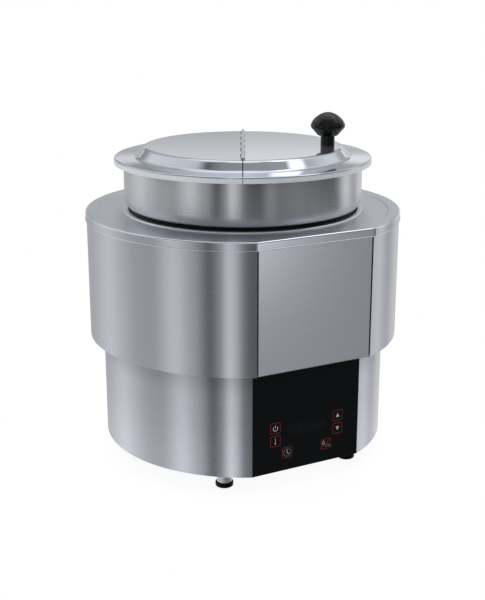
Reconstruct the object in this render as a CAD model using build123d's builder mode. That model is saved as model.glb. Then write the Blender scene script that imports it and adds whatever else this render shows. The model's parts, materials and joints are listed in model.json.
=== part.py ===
from build123d import *
from math import cos, radians, sin, sqrt, tan
import os

# Hot food well: a round heated pan in a two-step drum, an inset pot and a hinged lid.
# Millimetres, +Z up, front at -Y, origin on the drum's axis at the floor.

# Sheet metal and fits
sheet = 0.8
sheet_fit = 0.15
seat_gap = 0.1
bolt_gap = 0.3
thread_gap = 0.05

# Feet
foot_height = 23.0
foot_inset = 28.8
foot_angle = 53.55
foot_pad_radius = 9.8
foot_pad_height = 5.5
foot_pad_round = 1.5
foot_socket_depth = 2.0
foot_collar_radius = 8.2
foot_collar_round = 0.8
foot_stud_radius = 3.0
foot_stud_tip = 3.0
foot_nut_flats = 10.0
foot_nut_height = 5.0

# Drum
lower_radius = 160.0
lower_flat_depth = 14.0
lower_height = 117.4
shoulder_width = 15.0
shoulder_flange = 10.0
upper_flat_depth = 14.0
upper_height = 131.6

# Base plate
base_sheet = 1.0
base_flange = 6.0
vent_length = 50.0
vent_width = 5.0
vent_pitch = 12.0
vent_count = 4
vent_setback = 30.0

# Upper front panel
panel_sheet = 1.2
panel_edge = 0.15
panel_gap = 1.1
panel_return = 8.0
panel_bend = 1.0
panel_tab = 14.0
panel_tab_lift = 3.0
panel_lip_overlap = 5.0
panel_stud_radius = 2.0
panel_stud_tip = 1.5
panel_stud_inset = 22.0
panel_nut_flats = 7.0
panel_nut_height = 3.0

# Top deck
deck_lip = 9.5
deck_lip_round = 0.6
deck_bend = 1.8
deck_land = 0.6
deck_rim = 11.7
deck_recess = 1.2
deck_step = 3.0

# Well pan and rim gasket
well_radius = 123.6
pan_sheet = 1.0
pan_floor_bend = 12.0
pan_bend = 1.2
ledge_width = 4.2
ledge_drop = 2.8
bead_width = 6.3
bead_height = 1.5
well_depth = 186.0
gasket_height = 7.3
gasket_fit = 0.3
gasket_round = 1.3

# Inset pot
pot_sheet = 0.9
pot_play = 3.0
pot_seat_gap = 0.2
pot_shoulder = 11.9
pot_rise = 53.6
pot_depth = 210.0
pot_rim_width = 7.0
pot_rim_bend = 1.5
pot_taper = 32.0
pot_taper_height = 6.5
pot_neck_bend = 1.5
pot_floor_bend = 15.0

# Lid
lid_sheet = 0.8
lid_gap = 0.2
lid_play = 2.2
lid_lip = 6.6
lid_lip_bend = 1.3
lid_brim = 23.9
lid_brim_rise = 0.6
lid_dome_run = 9.1
lid_dome_height = 10.5
lid_dome_bend = 4.0
lid_slit = 1.0
lid_turn = 27.7

# Lid hinge
hinge_end_margin = 3.0
hinge_knuckles = 10
knuckle_gap = 0.4
barrel_radius = 1.9
barrel_rise = 0.75
barrel_gap = 0.4
pin_radius = 1.0
pin_recess = 2.5
leaf_width = 11.5
leaf_sheet = 0.8
notch_depth = 0.7

# Lid knob
knob_inset = 15.5
knob_stem_radius = 7.8
knob_stem_height = 10.5
knob_neck_radius = 11.0
knob_radius = 19.0
knob_cone_height = 6.8
knob_cheek = 3.7
knob_dome_height = 14.9
knob_screw_radius = 2.4
knob_screw_depth = 14.0
knob_screw_head_radius = 4.5
knob_screw_head = 2.5
knob_washer_radius = 7.0
knob_washer_height = 1.0

# Heater under the pan
spreader_radius = 95.0
spreader_height = 5.0
element_radius = 3.5
element_ring = 70.0
element_gap_angle = 30.0
element_drop = 10.0
element_tail_tip = 4.0
clamp_radius = 80.0
clamp_sheet = 2.0
heater_stud_radius = 2.5
heater_stud_inset = 20.0
heater_stud_count = 3
heater_stud_tip = 1.5
heater_nut_flats = 8.0
heater_nut_height = 4.0
probe_radius = 5.0
probe_tail = 5.0
thermostat_radius = 6.5
thermostat_height = 9.0

# Insulation and heat shield
jacket_fit = 0.3
jacket_wall = 15.0
jacket_top_gap = 14.0
shield_drop = 1.2
shield_cup_inset = 11.6
shield_lip = 8.0
shield_bend = 3.0
shield_lip_bend = 1.5
disc_height = 10.0
disc_gap = 1.5
ring_clearance = 3.0
shell_clearance = 1.5
post_radius = 4.0
post_inset = 14.0
post_count = 4
post_turn = 20.0

# Control panel
overlay_sheet = 0.5
overlay_margin = 0.3
window_width = 92.0
window_height = 46.0
controls_offset = 2.0
board_width = 110.0
board_height = 40.0
board_sheet = 1.6
standoff_radius = 2.8
standoff_length = 10.0
standoff_inset_x = 5.0
standoff_inset_z = 6.0
board_screw_radius = 1.5
board_screw_head_radius = 3.0
board_screw_head = 2.0
board_screw_depth = 6.0
key_reach_x = 38.6
key_upper_z = 15.2
key_middle_z = 0.3
key_lower_x = 24.2
key_lower_z = -15.3
key_sensor_radius = 4.0
overlay_gap = 0.3
display_width = 48.0
display_height = 16.0
display_z = 9.3

# Wiring bay
relay_length = 32.0
relay_width = 30.0
relay_height = 24.0
terminal_length = 32.0
terminal_width = 24.0
terminal_height = 20.0
bay_half = 26.0
bay_setback = 34.0
earth_x = -100.0
earth_y = 40.0
earth_radius = 3.0
earth_height = 14.0
earth_nut_flats = 10.0
earth_nut_height = 5.0
lead_radius = 1.3
lead_hole_gap = 1.0
lead_bend = 6.0
heater_lead_z = 8.0
sensor_lead_radius = 1.2
sensor_lead_z = 10.0
sensor_lead_bend = 10.0
power_lead_offset = 8.0
power_lead_z = 10.0
harness_radius = 2.0
harness_z = 8.0
harness_x = 20.0
harness_bend_y = -60.0
harness_bend = 20.0

# Cord entry
gland_rise = 24.0
gland_flats = 24.0
gland_flange = 5.0
gland_nose_radius = 10.5
gland_nose = 9.0
gland_thread_radius = 8.0
gland_thread_length = 12.0
gland_bore_radius = 4.5
gland_nut_height = 4.5

# Heights worked out from the sizes above
base_z = foot_height
base_top = base_z + base_sheet
shoulder_z = base_z + lower_height
lip_bottom = shoulder_z + upper_height
deck_top = lip_bottom + deck_lip
deck_floor = deck_top - deck_recess
ledge_z = deck_floor - ledge_drop
pan_floor = ledge_z - well_depth
pan_under = pan_floor - pan_sheet
gasket_top = ledge_z + gasket_height
pot_seat = gasket_top + pot_seat_gap
pot_rim_top = pot_seat + pot_rise
pot_floor = pot_rim_top - pot_depth

# Heater and shield heights, stacked down from the pan's floor
spreader_bottom = pan_under - seat_gap - spreader_height
element_z = spreader_bottom - seat_gap - element_radius
clamp_bottom = element_z - element_radius - seat_gap - clamp_sheet
heater_stud_bottom = clamp_bottom - heater_nut_height - heater_stud_tip
probe_bottom = clamp_bottom - probe_tail
shield_flange_top = pan_under - shield_drop
shield_floor_top = min(heater_stud_bottom, probe_bottom) - disc_gap - disc_height
shield_under = shield_floor_top - sheet
tail_bottom = shield_under - element_tail_tip
controls_z = (base_top + shield_flange_top - sheet) / 2 + controls_offset

# Plan sizes worked out from the sizes above
upper_radius = lower_radius + shoulder_width
lower_flat = lower_radius - lower_flat_depth
upper_flat = upper_radius - upper_flat_depth
panel_bay = sqrt(upper_radius**2 - upper_flat**2) - panel_edge
panel_half = panel_bay - panel_gap
deck_radius = upper_radius + sheet_fit + sheet
deck_flat = upper_flat + sheet_fit + sheet
deck_step_radius = deck_radius - deck_rim
deck_step_flat = deck_flat - deck_bend - deck_land
cup_radius = well_radius + ledge_width
bead_radius = cup_radius + bead_width
deck_hole = cup_radius + pan_sheet + bolt_gap
heater_stud_circle = element_ring - heater_stud_inset
shield_cup_radius = well_radius - shield_cup_inset
post_circle = shield_cup_radius - post_inset
jacket_inside = well_radius + pan_sheet + jacket_fit
jacket_outside = jacket_inside + jacket_wall
room_radius = lower_radius - sheet - shell_clearance
room_flat = lower_flat - sheet - shell_clearance
pot_body_radius = well_radius - pot_play
pot_band_radius = pot_body_radius + pot_shoulder
pot_rim_radius = pot_band_radius + pot_rim_width
brim_radius = pot_rim_radius + lid_play + lid_sheet
dome_radius = brim_radius - lid_brim
plateau_radius = dome_radius - lid_dome_run

foot_circle = lower_radius - foot_inset
foot_x = foot_circle * cos(radians(foot_angle))
foot_y = foot_circle * sin(radians(foot_angle))
foot_points = [(-foot_x, -foot_y), (foot_x, -foot_y), (foot_x, foot_y), (-foot_x, foot_y)]

# Lid directions: the hinge line is turned from the front-to-back line by lid_turn
flap_way = Vector(cos(radians(-lid_turn)), sin(radians(-lid_turn)), 0)
hinge_way = Vector(-flap_way.Y, flap_way.X, 0)
hinge_plane = Plane((0, 0, 0), x_dir=hinge_way, z_dir=flap_way)

os.makedirs("parts", exist_ok=True)


def finish(piece, label):
    """Label a finished piece and write it."""
    piece.part.label = label
    export_step(piece.part, f"parts/{label}.step")


def drum_face(radius, flat, mode=Mode.ADD):
    """Round outline with one flat at the front."""
    half = sqrt(radius**2 - flat**2)
    with BuildLine() as outline:
        Line((-half, -flat), (half, -flat))
        ThreePointArc((half, -flat), (0, radius), (-half, -flat))
    make_face(outline.edges(), mode=mode)


def drum_wall(radius, flat, wall):
    """Sheet that follows the drum outline."""
    drum_face(radius, flat)
    drum_face(radius - wall, flat - wall, mode=Mode.SUBTRACT)


def hex_ring(flats, hole):
    """Hexagon nut outline with its hole."""
    RegularPolygon(flats / 2, 6, major_radius=False)
    Circle(hole, mode=Mode.SUBTRACT)


def lead(points, radius, bend):
    """Round wire along straight runs joined by bends."""
    with BuildLine() as route:
        FilletPolyline(*points, radius=bend)
    with BuildSketch(Plane(route.line @ 0, z_dir=route.line % 0)) as section:
        Circle(radius)
    sweep(section.sketch, path=route.line)


# Base plate with an upturned flange, holes for the feet and vents
base_radius = lower_radius - sheet - sheet_fit
base_flat = lower_flat - sheet - sheet_fit
with BuildPart() as base_plate:
    with BuildSketch(Plane.XY.offset(base_z)):
        drum_face(base_radius, base_flat)
        with Locations(*foot_points):
            Circle(foot_stud_radius + bolt_gap, mode=Mode.SUBTRACT)
        with Locations((0, -vent_setback)):
            with GridLocations(0, vent_pitch, 1, vent_count):
                SlotOverall(vent_length, vent_width, mode=Mode.SUBTRACT)
    extrude(amount=base_sheet)
    with BuildSketch(Plane.XY.offset(base_z)):
        drum_wall(base_radius, base_flat, base_sheet)
    extrude(amount=base_flange)
finish(base_plate, "base_plate")

# Four feet: a metal collar with a stud, in a rubber pad
collar_bottom = foot_pad_height - foot_socket_depth
foot_stud_top = base_top + foot_nut_height + foot_stud_tip
for number, (x, y) in enumerate(foot_points, 1):
    with BuildPart() as foot_collar:
        with BuildSketch(Plane((x, y, collar_bottom))):
            Circle(foot_collar_radius)
        extrude(amount=base_z - collar_bottom)
        fillet(foot_collar.edges().group_by(Axis.Z)[0], foot_collar_round)
        with BuildSketch(Plane((x, y, base_z))):
            Circle(foot_stud_radius)
        extrude(amount=foot_stud_top - base_z)
    finish(foot_collar, f"foot_collar_{number}")

    with BuildPart() as foot_pad:
        with BuildSketch(Plane((x, y, 0))):
            Circle(foot_pad_radius)
        extrude(amount=foot_pad_height)
        fillet(foot_pad.edges().filter_by(GeomType.CIRCLE), foot_pad_round)
        with BuildSketch(Plane((x, y, collar_bottom))):
            Circle(foot_collar_radius + seat_gap)
        extrude(amount=foot_socket_depth, mode=Mode.SUBTRACT)
    finish(foot_pad, f"foot_pad_{number}")

with BuildPart() as foot_nuts:
    with BuildSketch(Plane.XY.offset(base_top)):
        with Locations(*foot_points):
            hex_ring(foot_nut_flats, foot_stud_radius + thread_gap)
    extrude(amount=foot_nut_height)
finish(foot_nuts, "foot_nuts")

# Lower shell: a wrapped sheet with a flat front, a window for the controls and a cord hole
gland_z = base_z + gland_rise
rear_plane = Plane((0, lower_radius, gland_z), x_dir=(-1, 0, 0), z_dir=(0, 1, 0))
with BuildPart() as lower_shell:
    with BuildSketch(Plane.XY.offset(base_z)):
        drum_wall(lower_radius, lower_flat, sheet)
    extrude(amount=lower_height)
    with BuildSketch(Plane((0, -lower_flat, controls_z), x_dir=(1, 0, 0), z_dir=(0, -1, 0))):
        Rectangle(window_width, window_height)
    extrude(amount=-2 * sheet, mode=Mode.SUBTRACT)
    with BuildSketch(rear_plane):
        Circle(gland_thread_radius + bolt_gap)
    extrude(amount=-gland_thread_length, mode=Mode.SUBTRACT)
finish(lower_shell, "lower_shell")

# Shoulder ring: closes the upper drum's underside round the well
ring_radius = upper_radius - sheet - sheet_fit
ring_flat = upper_flat - panel_return - sheet_fit
with BuildPart() as shoulder_ring:
    with BuildSketch(Plane.XY.offset(shoulder_z)):
        drum_face(ring_radius, ring_flat)
        Circle(jacket_outside + ring_clearance, mode=Mode.SUBTRACT)
    extrude(amount=sheet)
    with BuildSketch(Plane.XY.offset(shoulder_z)):
        drum_wall(ring_radius, ring_flat, sheet)
    extrude(amount=shoulder_flange)
finish(shoulder_ring, "shoulder_ring")

# Upper shell: a wrapped sheet, open at the front, with a tab behind each side of the panel
shell_top = deck_top - sheet - seat_gap
tab_front = upper_flat - panel_sheet - sheet_fit
tab_middle = tab_front - sheet / 2
tab_outer = sqrt((upper_radius - sheet / 2) ** 2 - tab_middle**2)
tab_inner = panel_bay - panel_tab
panel_stud_x = panel_bay - panel_tab / 2
panel_stud_z = [shoulder_z + panel_stud_inset, lip_bottom - panel_stud_inset]
panel_stud_points = [(side * panel_stud_x, z) for side in (-1, 1) for z in panel_stud_z]
with BuildPart() as upper_shell:
    with BuildSketch(Plane.XY.offset(shoulder_z)):
        drum_wall(upper_radius, upper_flat, sheet)
        with Locations((0, -upper_flat)):
            Rectangle(2 * panel_bay, 2.2 * sheet, mode=Mode.SUBTRACT)
    extrude(amount=shell_top - shoulder_z)
    with BuildSketch(Plane.XY.offset(shoulder_z + panel_tab_lift)):
        for side in (-1, 1):
            with Locations((side * (tab_inner + tab_outer) / 2, -tab_middle)):
                Rectangle(tab_outer - tab_inner, sheet)
    extrude(amount=shell_top - shoulder_z - panel_tab_lift)
    with BuildSketch(Plane.XZ.offset(upper_flat)):
        with Locations(*panel_stud_points):
            Circle(panel_stud_radius + bolt_gap)
    extrude(amount=-panel_return, mode=Mode.SUBTRACT)
finish(upper_shell, "upper_shell")

# Upper front panel: a plate with a bottom return and four studs
panel_top = lip_bottom + panel_lip_overlap
panel_nut_front = tab_front - sheet
panel_back = upper_flat - panel_sheet
with BuildPart() as upper_front_panel:
    with BuildSketch(Plane.YZ):
        with BuildLine():
            FilletPolyline(
                (panel_return - upper_flat, shoulder_z + panel_sheet / 2),
                (panel_sheet / 2 - upper_flat, shoulder_z + panel_sheet / 2),
                (panel_sheet / 2 - upper_flat, panel_top),
                radius=panel_bend,
            )
        trace(line_width=panel_sheet)
    extrude(amount=panel_half, both=True)
    with BuildSketch(Plane.XZ.offset(panel_back)):
        with Locations(*panel_stud_points):
            Circle(panel_stud_radius)
    extrude(amount=panel_nut_front - panel_nut_height - panel_stud_tip - panel_back)
finish(upper_front_panel, "upper_front_panel")

with BuildPart() as panel_nuts:
    with BuildSketch(Plane.XZ.offset(panel_nut_front)):
        with Locations(*panel_stud_points):
            hex_ring(panel_nut_flats, panel_stud_radius + thread_gap)
    extrude(amount=-panel_nut_height)
finish(panel_nuts, "panel_nuts")

# Top deck: a flanged sheet with a shallow pressed step and the well's hole
deck_step_inner = deck_step_radius - deck_step
deck_step_middle = ((deck_step_radius + deck_step_inner) / 2, (deck_top + deck_floor) / 2)
with BuildPart() as top_deck:
    with BuildSketch(Plane.XY.offset(lip_bottom)):
        drum_face(deck_radius, deck_flat)
    extrude(amount=deck_lip)
    fillet(top_deck.edges().group_by(Axis.Z)[-1], deck_bend)
    fillet(top_deck.edges().group_by(Axis.Z)[0], deck_lip_round)
    with BuildSketch(Plane.XY.offset(lip_bottom)):
        drum_face(deck_radius - sheet, deck_flat - sheet)
    extrude(amount=deck_lip - sheet, mode=Mode.SUBTRACT)
    with BuildSketch(Plane.XY.offset(deck_floor - sheet)):
        drum_face(deck_step_radius, deck_step_flat)
    extrude(amount=deck_recess)
    with BuildSketch(Plane.XZ):
        with BuildLine():
            lower_bend = TangentArc((deck_step_inner, deck_floor), deck_step_middle, tangent=(1, 0))
            upper_bend = TangentArc(
                deck_step_middle, (deck_step_radius, deck_top), tangent=lower_bend % 1
            )
            Polyline(
                upper_bend @ 1,
                (deck_step_radius, deck_top + sheet),
                (0, deck_top + sheet),
                (0, deck_floor),
                (deck_step_inner, deck_floor),
            )
        make_face()
    recess = revolve(axis=Axis.Z, mode=Mode.PRIVATE)
    recess_front = Plane.XZ.offset(deck_step_flat - sheet)
    recess = split(recess, bisect_by=recess_front, keep=Keep.BOTTOM, mode=Mode.PRIVATE)
    add(recess, mode=Mode.SUBTRACT)
    with BuildSketch(Plane.XY.offset(deck_floor)):
        Circle(deck_hole)
    extrude(amount=-2 * sheet, mode=Mode.SUBTRACT)
finish(top_deck, "top_deck")

# Well pan: a drawn pan with a ledge, a flat bead on the deck and heater studs under its floor
pan_wall_line = well_radius + pan_sheet / 2
pan_cup_line = cup_radius + pan_sheet / 2
bead_line = bead_radius - pan_sheet / 2
bead_top_line = deck_floor + bead_height - pan_sheet / 2
bead_bend = 0.9 * (bead_top_line - deck_floor - seat_gap)
with BuildPart() as well_pan:
    with BuildSketch(Plane.XZ):
        with BuildLine():
            FilletPolyline(
                (0, pan_floor - pan_sheet / 2),
                (pan_wall_line, pan_floor - pan_sheet / 2),
                (pan_wall_line, ledge_z - pan_sheet / 2),
                (pan_cup_line, ledge_z - pan_sheet / 2),
                (pan_cup_line, bead_top_line),
                (bead_line, bead_top_line),
                (bead_line, deck_floor + seat_gap),
                radius=[pan_floor_bend, pan_bend, pan_bend, bead_bend, bead_bend],
            )
        trace(line_width=pan_sheet)
    revolve(axis=Axis.Z)
    with BuildSketch(Plane.XY.offset(pan_under)):
        with PolarLocations(heater_stud_circle, heater_stud_count):
            Circle(heater_stud_radius)
    extrude(amount=heater_stud_bottom - pan_under)
finish(well_pan, "well_pan")

# Rim gasket: a rubber ring on the ledge that carries the pot
gasket_inside = well_radius + gasket_fit
gasket_outside = cup_radius - gasket_fit
with BuildPart() as rim_gasket:
    with BuildSketch(Plane.XZ) as gasket_section:
        with Locations(((gasket_inside + gasket_outside) / 2, ledge_z + gasket_height / 2)):
            Rectangle(gasket_outside - gasket_inside, gasket_height)
        fillet(gasket_section.vertices().group_by(Axis.Z)[-1], gasket_round)
    revolve(axis=Axis.Z)
finish(rim_gasket, "rim_gasket")

# Heat spreader plate under the pan
with BuildPart() as heat_spreader:
    with BuildSketch(Plane.XY.offset(spreader_bottom)):
        Circle(spreader_radius)
        Circle(probe_radius + bolt_gap, mode=Mode.SUBTRACT)
        with PolarLocations(heater_stud_circle, heater_stud_count):
            Circle(heater_stud_radius + bolt_gap, mode=Mode.SUBTRACT)
    extrude(amount=spreader_height)
finish(heat_spreader, "heat_spreader")

# Tubular heater element: an open ring whose two tails turn down
ring_start = 90 + element_gap_angle / 2
ring_sweep = 360 - element_gap_angle
with BuildPart() as heater_element:
    with BuildLine() as element_path:
        ring_arc = CenterArc((0, 0, element_z), element_ring, ring_start, ring_sweep)
        bend_ends = []
        for point, way in ((ring_arc @ 0, -(ring_arc % 0)), (ring_arc @ 1, ring_arc % 1)):
            bend_end = point + way * element_drop - Vector(0, 0, element_drop)
            TangentArc(point, bend_end, tangent=way)
            Line(bend_end, (bend_end.X, bend_end.Y, tail_bottom))
            bend_ends.append(bend_end)
    tail_points = [(end.X, end.Y) for end in bend_ends]
    with BuildSketch(Plane((*tail_points[0], tail_bottom))):
        Circle(element_radius)
    sweep()
finish(heater_element, "heater_element")

# Clamp plate that holds the element up, open where the tails come down
clamp_slot_half = abs(tail_points[0][0]) + element_drop + 2 * element_radius
clamp_slot_y = tail_points[0][1] - 5 * element_radius
with BuildPart() as heater_clamp:
    with BuildSketch(Plane.XY.offset(clamp_bottom)):
        Circle(clamp_radius)
        Circle(probe_radius + bolt_gap, mode=Mode.SUBTRACT)
        with PolarLocations(heater_stud_circle, heater_stud_count):
            Circle(heater_stud_radius + bolt_gap, mode=Mode.SUBTRACT)
        with Locations((0, clamp_slot_y)):
            Rectangle(
                2 * clamp_slot_half,
                clamp_radius,
                align=(Align.CENTER, Align.MIN),
                mode=Mode.SUBTRACT,
            )
    extrude(amount=clamp_sheet)
finish(heater_clamp, "heater_clamp")

with BuildPart() as heater_nuts:
    with BuildSketch(Plane.XY.offset(clamp_bottom)):
        with PolarLocations(heater_stud_circle, heater_stud_count):
            hex_ring(heater_nut_flats, heater_stud_radius + thread_gap)
    extrude(amount=-heater_nut_height)
finish(heater_nuts, "heater_nuts")

# Temperature probe against the pan floor, and a high limit thermostat on the spreader
with BuildPart() as temperature_probe:
    with BuildSketch(Plane.XY.offset(probe_bottom)):
        Circle(probe_radius)
    extrude(amount=pan_under - seat_gap - probe_bottom)
finish(temperature_probe, "temperature_probe")

thermostat_y = -(clamp_radius + thermostat_radius + bolt_gap)
with BuildPart() as high_limit_thermostat:
    with BuildSketch(Plane((0, thermostat_y, spreader_bottom - seat_gap))):
        Circle(thermostat_radius)
    extrude(amount=-thermostat_height)
finish(high_limit_thermostat, "high_limit_thermostat")

# Heat shield: a stepped cup under the heater whose flange carries the insulation jacket
shield_flange_line = shield_flange_top - sheet / 2
shield_floor_line = shield_floor_top - sheet / 2
shield_cup_line = shield_cup_radius - sheet / 2
shield_lip_line = jacket_outside + shield_lip_bend
tail_hole = element_radius + lead_hole_gap
sensor_hole = sensor_lead_radius + lead_hole_gap
with BuildPart() as heat_shield:
    with BuildSketch(Plane.XZ):
        with BuildLine():
            FilletPolyline(
                (0, shield_floor_line),
                (shield_cup_line, shield_floor_line),
                (shield_cup_line, shield_flange_line),
                (shield_lip_line, shield_flange_line),
                (shield_lip_line, shield_flange_line + shield_lip),
                radius=[shield_bend, shield_bend, shield_lip_bend],
            )
        trace(line_width=sheet)
    revolve(axis=Axis.Z)
    with BuildSketch(Plane.XY.offset(shield_floor_top)):
        Circle(sensor_hole)
        with Locations(*tail_points):
            Circle(tail_hole)
    extrude(amount=-2 * sheet, mode=Mode.SUBTRACT)
    with BuildSketch(Plane.XY.offset(shield_under)):
        drum_face(room_radius, room_flat)
    extrude(amount=shield_flange_top + shield_lip - shield_under, mode=Mode.INTERSECT)
finish(heat_shield, "heat_shield")

disc_radius = shield_cup_radius - sheet - shield_bend
with BuildPart() as insulation_disc:
    with BuildSketch(Plane.XY.offset(shield_floor_top)):
        Circle(disc_radius)
        Circle(sensor_hole, mode=Mode.SUBTRACT)
        with Locations(*tail_points):
            Circle(tail_hole, mode=Mode.SUBTRACT)
    extrude(amount=disc_height)
finish(insulation_disc, "insulation_disc")

jacket_bottom = shield_flange_top + seat_gap
jacket_top = ledge_z - pan_sheet - jacket_top_gap
with BuildPart() as insulation_jacket:
    with BuildSketch(Plane.XY.offset(jacket_bottom)):
        Circle(jacket_outside)
        drum_face(room_radius, room_flat, mode=Mode.INTERSECT)
        Circle(jacket_inside, mode=Mode.SUBTRACT)
    extrude(amount=jacket_top - jacket_bottom)
finish(insulation_jacket, "insulation_jacket")

with BuildPart() as shield_posts:
    with BuildSketch(Plane.XY.offset(base_top)):
        with PolarLocations(post_circle, post_count, start_angle=post_turn):
            Circle(post_radius)
    extrude(amount=shield_under - base_top)
finish(shield_posts, "shield_posts")

# Control overlay on the lower flat
overlay_half = sqrt(lower_radius**2 - lower_flat**2) - overlay_margin
overlay_plane = Plane(
    (0, -lower_flat, base_z + lower_height / 2), x_dir=(1, 0, 0), z_dir=(0, -1, 0)
)
with BuildPart() as control_overlay:
    with BuildSketch(overlay_plane):
        Rectangle(2 * overlay_half, lower_height - 2 * overlay_margin)
    extrude(amount=overlay_sheet)
finish(control_overlay, "control_overlay")

# Control board behind the window, on four standoffs
board_front = lower_flat - sheet - standoff_length
board_back = board_front - board_sheet
standoff_x = board_width / 2 - standoff_inset_x
standoff_z = board_height / 2 - standoff_inset_z
board_plane = Plane((0, -board_front, controls_z), x_dir=(1, 0, 0), z_dir=(0, -1, 0))
sensor_length = lower_flat - overlay_gap - board_front
with BuildPart() as control_board:
    with BuildSketch(board_plane):
        Rectangle(board_width, board_height)
        with GridLocations(2 * standoff_x, 2 * standoff_z, 2, 2):
            Circle(board_screw_radius + bolt_gap, mode=Mode.SUBTRACT)
    extrude(amount=-board_sheet)
finish(control_board, "control_board")

with BuildPart() as board_standoffs:
    with BuildSketch(board_plane):
        with GridLocations(2 * standoff_x, 2 * standoff_z, 2, 2):
            Circle(standoff_radius)
            Circle(board_screw_radius + thread_gap, mode=Mode.SUBTRACT)
    extrude(amount=standoff_length)
finish(board_standoffs, "board_standoffs")

with BuildPart() as board_screws:
    with BuildSketch(board_plane.offset(-board_sheet)):
        with GridLocations(2 * standoff_x, 2 * standoff_z, 2, 2):
            Circle(board_screw_head_radius)
    extrude(amount=-board_screw_head)
    with BuildSketch(board_plane.offset(-board_sheet)):
        with GridLocations(2 * standoff_x, 2 * standoff_z, 2, 2):
            Circle(board_screw_radius)
    extrude(amount=board_sheet + board_screw_depth)
finish(board_screws, "board_screws")

key_points = [
    (side * reach, height)
    for side in (-1, 1)
    for reach, height in (
        (key_reach_x, key_upper_z),
        (key_reach_x, key_middle_z),
        (key_lower_x, key_lower_z),
    )
]
with BuildPart() as key_sensors:
    with BuildSketch(board_plane):
        with Locations(*key_points):
            Circle(key_sensor_radius)
    extrude(amount=sensor_length)
finish(key_sensors, "key_sensors")

with BuildPart() as display_module:
    with BuildSketch(board_plane):
        with Locations((0, display_z)):
            Rectangle(display_width, display_height)
    extrude(amount=sensor_length)
finish(display_module, "display_module")

# Power relay, terminal block and earth stud on the base plate, behind the shield's cup
bay_y = base_radius - bay_setback
relay_x = bay_half + relay_length / 2
with BuildPart() as power_relay:
    with BuildSketch(Plane((relay_x, bay_y, base_top))):
        Rectangle(relay_length, relay_width)
    extrude(amount=relay_height)
finish(power_relay, "power_relay")

with BuildPart() as terminal_block:
    with BuildSketch(Plane((-bay_half - terminal_length / 2, bay_y, base_top))):
        Rectangle(terminal_length, terminal_width)
    extrude(amount=terminal_height)
finish(terminal_block, "terminal_block")

earth_plane = Plane((earth_x, earth_y, base_top))
with BuildPart() as earth_stud:
    with BuildSketch(earth_plane):
        Circle(earth_radius)
    extrude(amount=earth_height)
    with BuildSketch(earth_plane):
        RegularPolygon(earth_nut_flats / 2, 6, major_radius=False)
    extrude(amount=earth_nut_height)
finish(earth_stud, "earth_stud")

# Leads inside the base
left_tail, right_tail = sorted(tail_points)
heater_lead_line = base_top + heater_lead_z
heater_lead_bend = min(lead_bend, 0.9 * (tail_bottom - heater_lead_line))
for label, tail, end_x in (
    ("heater_lead_relay", right_tail, bay_half),
    ("heater_lead_terminal", left_tail, -bay_half),
):
    with BuildPart() as heater_lead:
        lead(
            [
                (*tail, tail_bottom),
                (*tail, heater_lead_line),
                (tail[0], bay_y, heater_lead_line),
                (end_x, bay_y, heater_lead_line),
            ],
            lead_radius,
            heater_lead_bend,
        )
    finish(heater_lead, label)

power_lead_y = bay_y + power_lead_offset
with BuildPart() as power_lead:
    with BuildSketch(Plane((0, power_lead_y, base_top + power_lead_z), z_dir=(1, 0, 0))):
        Circle(lead_radius)
    extrude(amount=bay_half, both=True)
finish(power_lead, "power_lead")

with BuildPart() as sensor_lead:
    lead(
        [
            (0, 0, probe_bottom),
            (0, 0, base_top + sensor_lead_z),
            (0, -board_back, base_top + sensor_lead_z),
        ],
        sensor_lead_radius,
        sensor_lead_bend,
    )
finish(sensor_lead, "sensor_lead")

with BuildPart() as board_harness:
    lead(
        [
            (relay_x, bay_y - relay_width / 2, base_top + harness_z),
            (relay_x, 0, base_top + harness_z),
            (harness_x, harness_bend_y, base_top + harness_z),
            (harness_x, -board_back, base_top + harness_z),
        ],
        harness_radius,
        harness_bend,
    )
finish(board_harness, "board_harness")

# Cord gland in the back of the lower shell, with its nut inside
gland_nut_face = sqrt((lower_radius - sheet) ** 2 - (gland_flats / 2) ** 2) - sheet_fit
with BuildPart() as cord_gland:
    with BuildSketch(rear_plane.offset(seat_gap)):
        RegularPolygon(gland_flats / 2, 6, major_radius=False)
    extrude(amount=gland_flange)
    with BuildSketch(rear_plane.offset(seat_gap + gland_flange)):
        Circle(gland_nose_radius)
    extrude(amount=gland_nose, taper=8)
    with BuildSketch(rear_plane.offset(seat_gap)):
        Circle(gland_thread_radius)
    extrude(amount=-gland_thread_length)
    with BuildSketch(rear_plane.offset(seat_gap - gland_thread_length)):
        Circle(gland_bore_radius)
    extrude(amount=gland_thread_length + gland_flange + gland_nose, mode=Mode.SUBTRACT)
finish(cord_gland, "cord_gland")

with BuildPart() as gland_nut:
    with BuildSketch(rear_plane.offset(gland_nut_face - lower_radius)):
        hex_ring(gland_flats, gland_thread_radius + thread_gap)
    extrude(amount=-gland_nut_height)
finish(gland_nut, "gland_nut")

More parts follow.
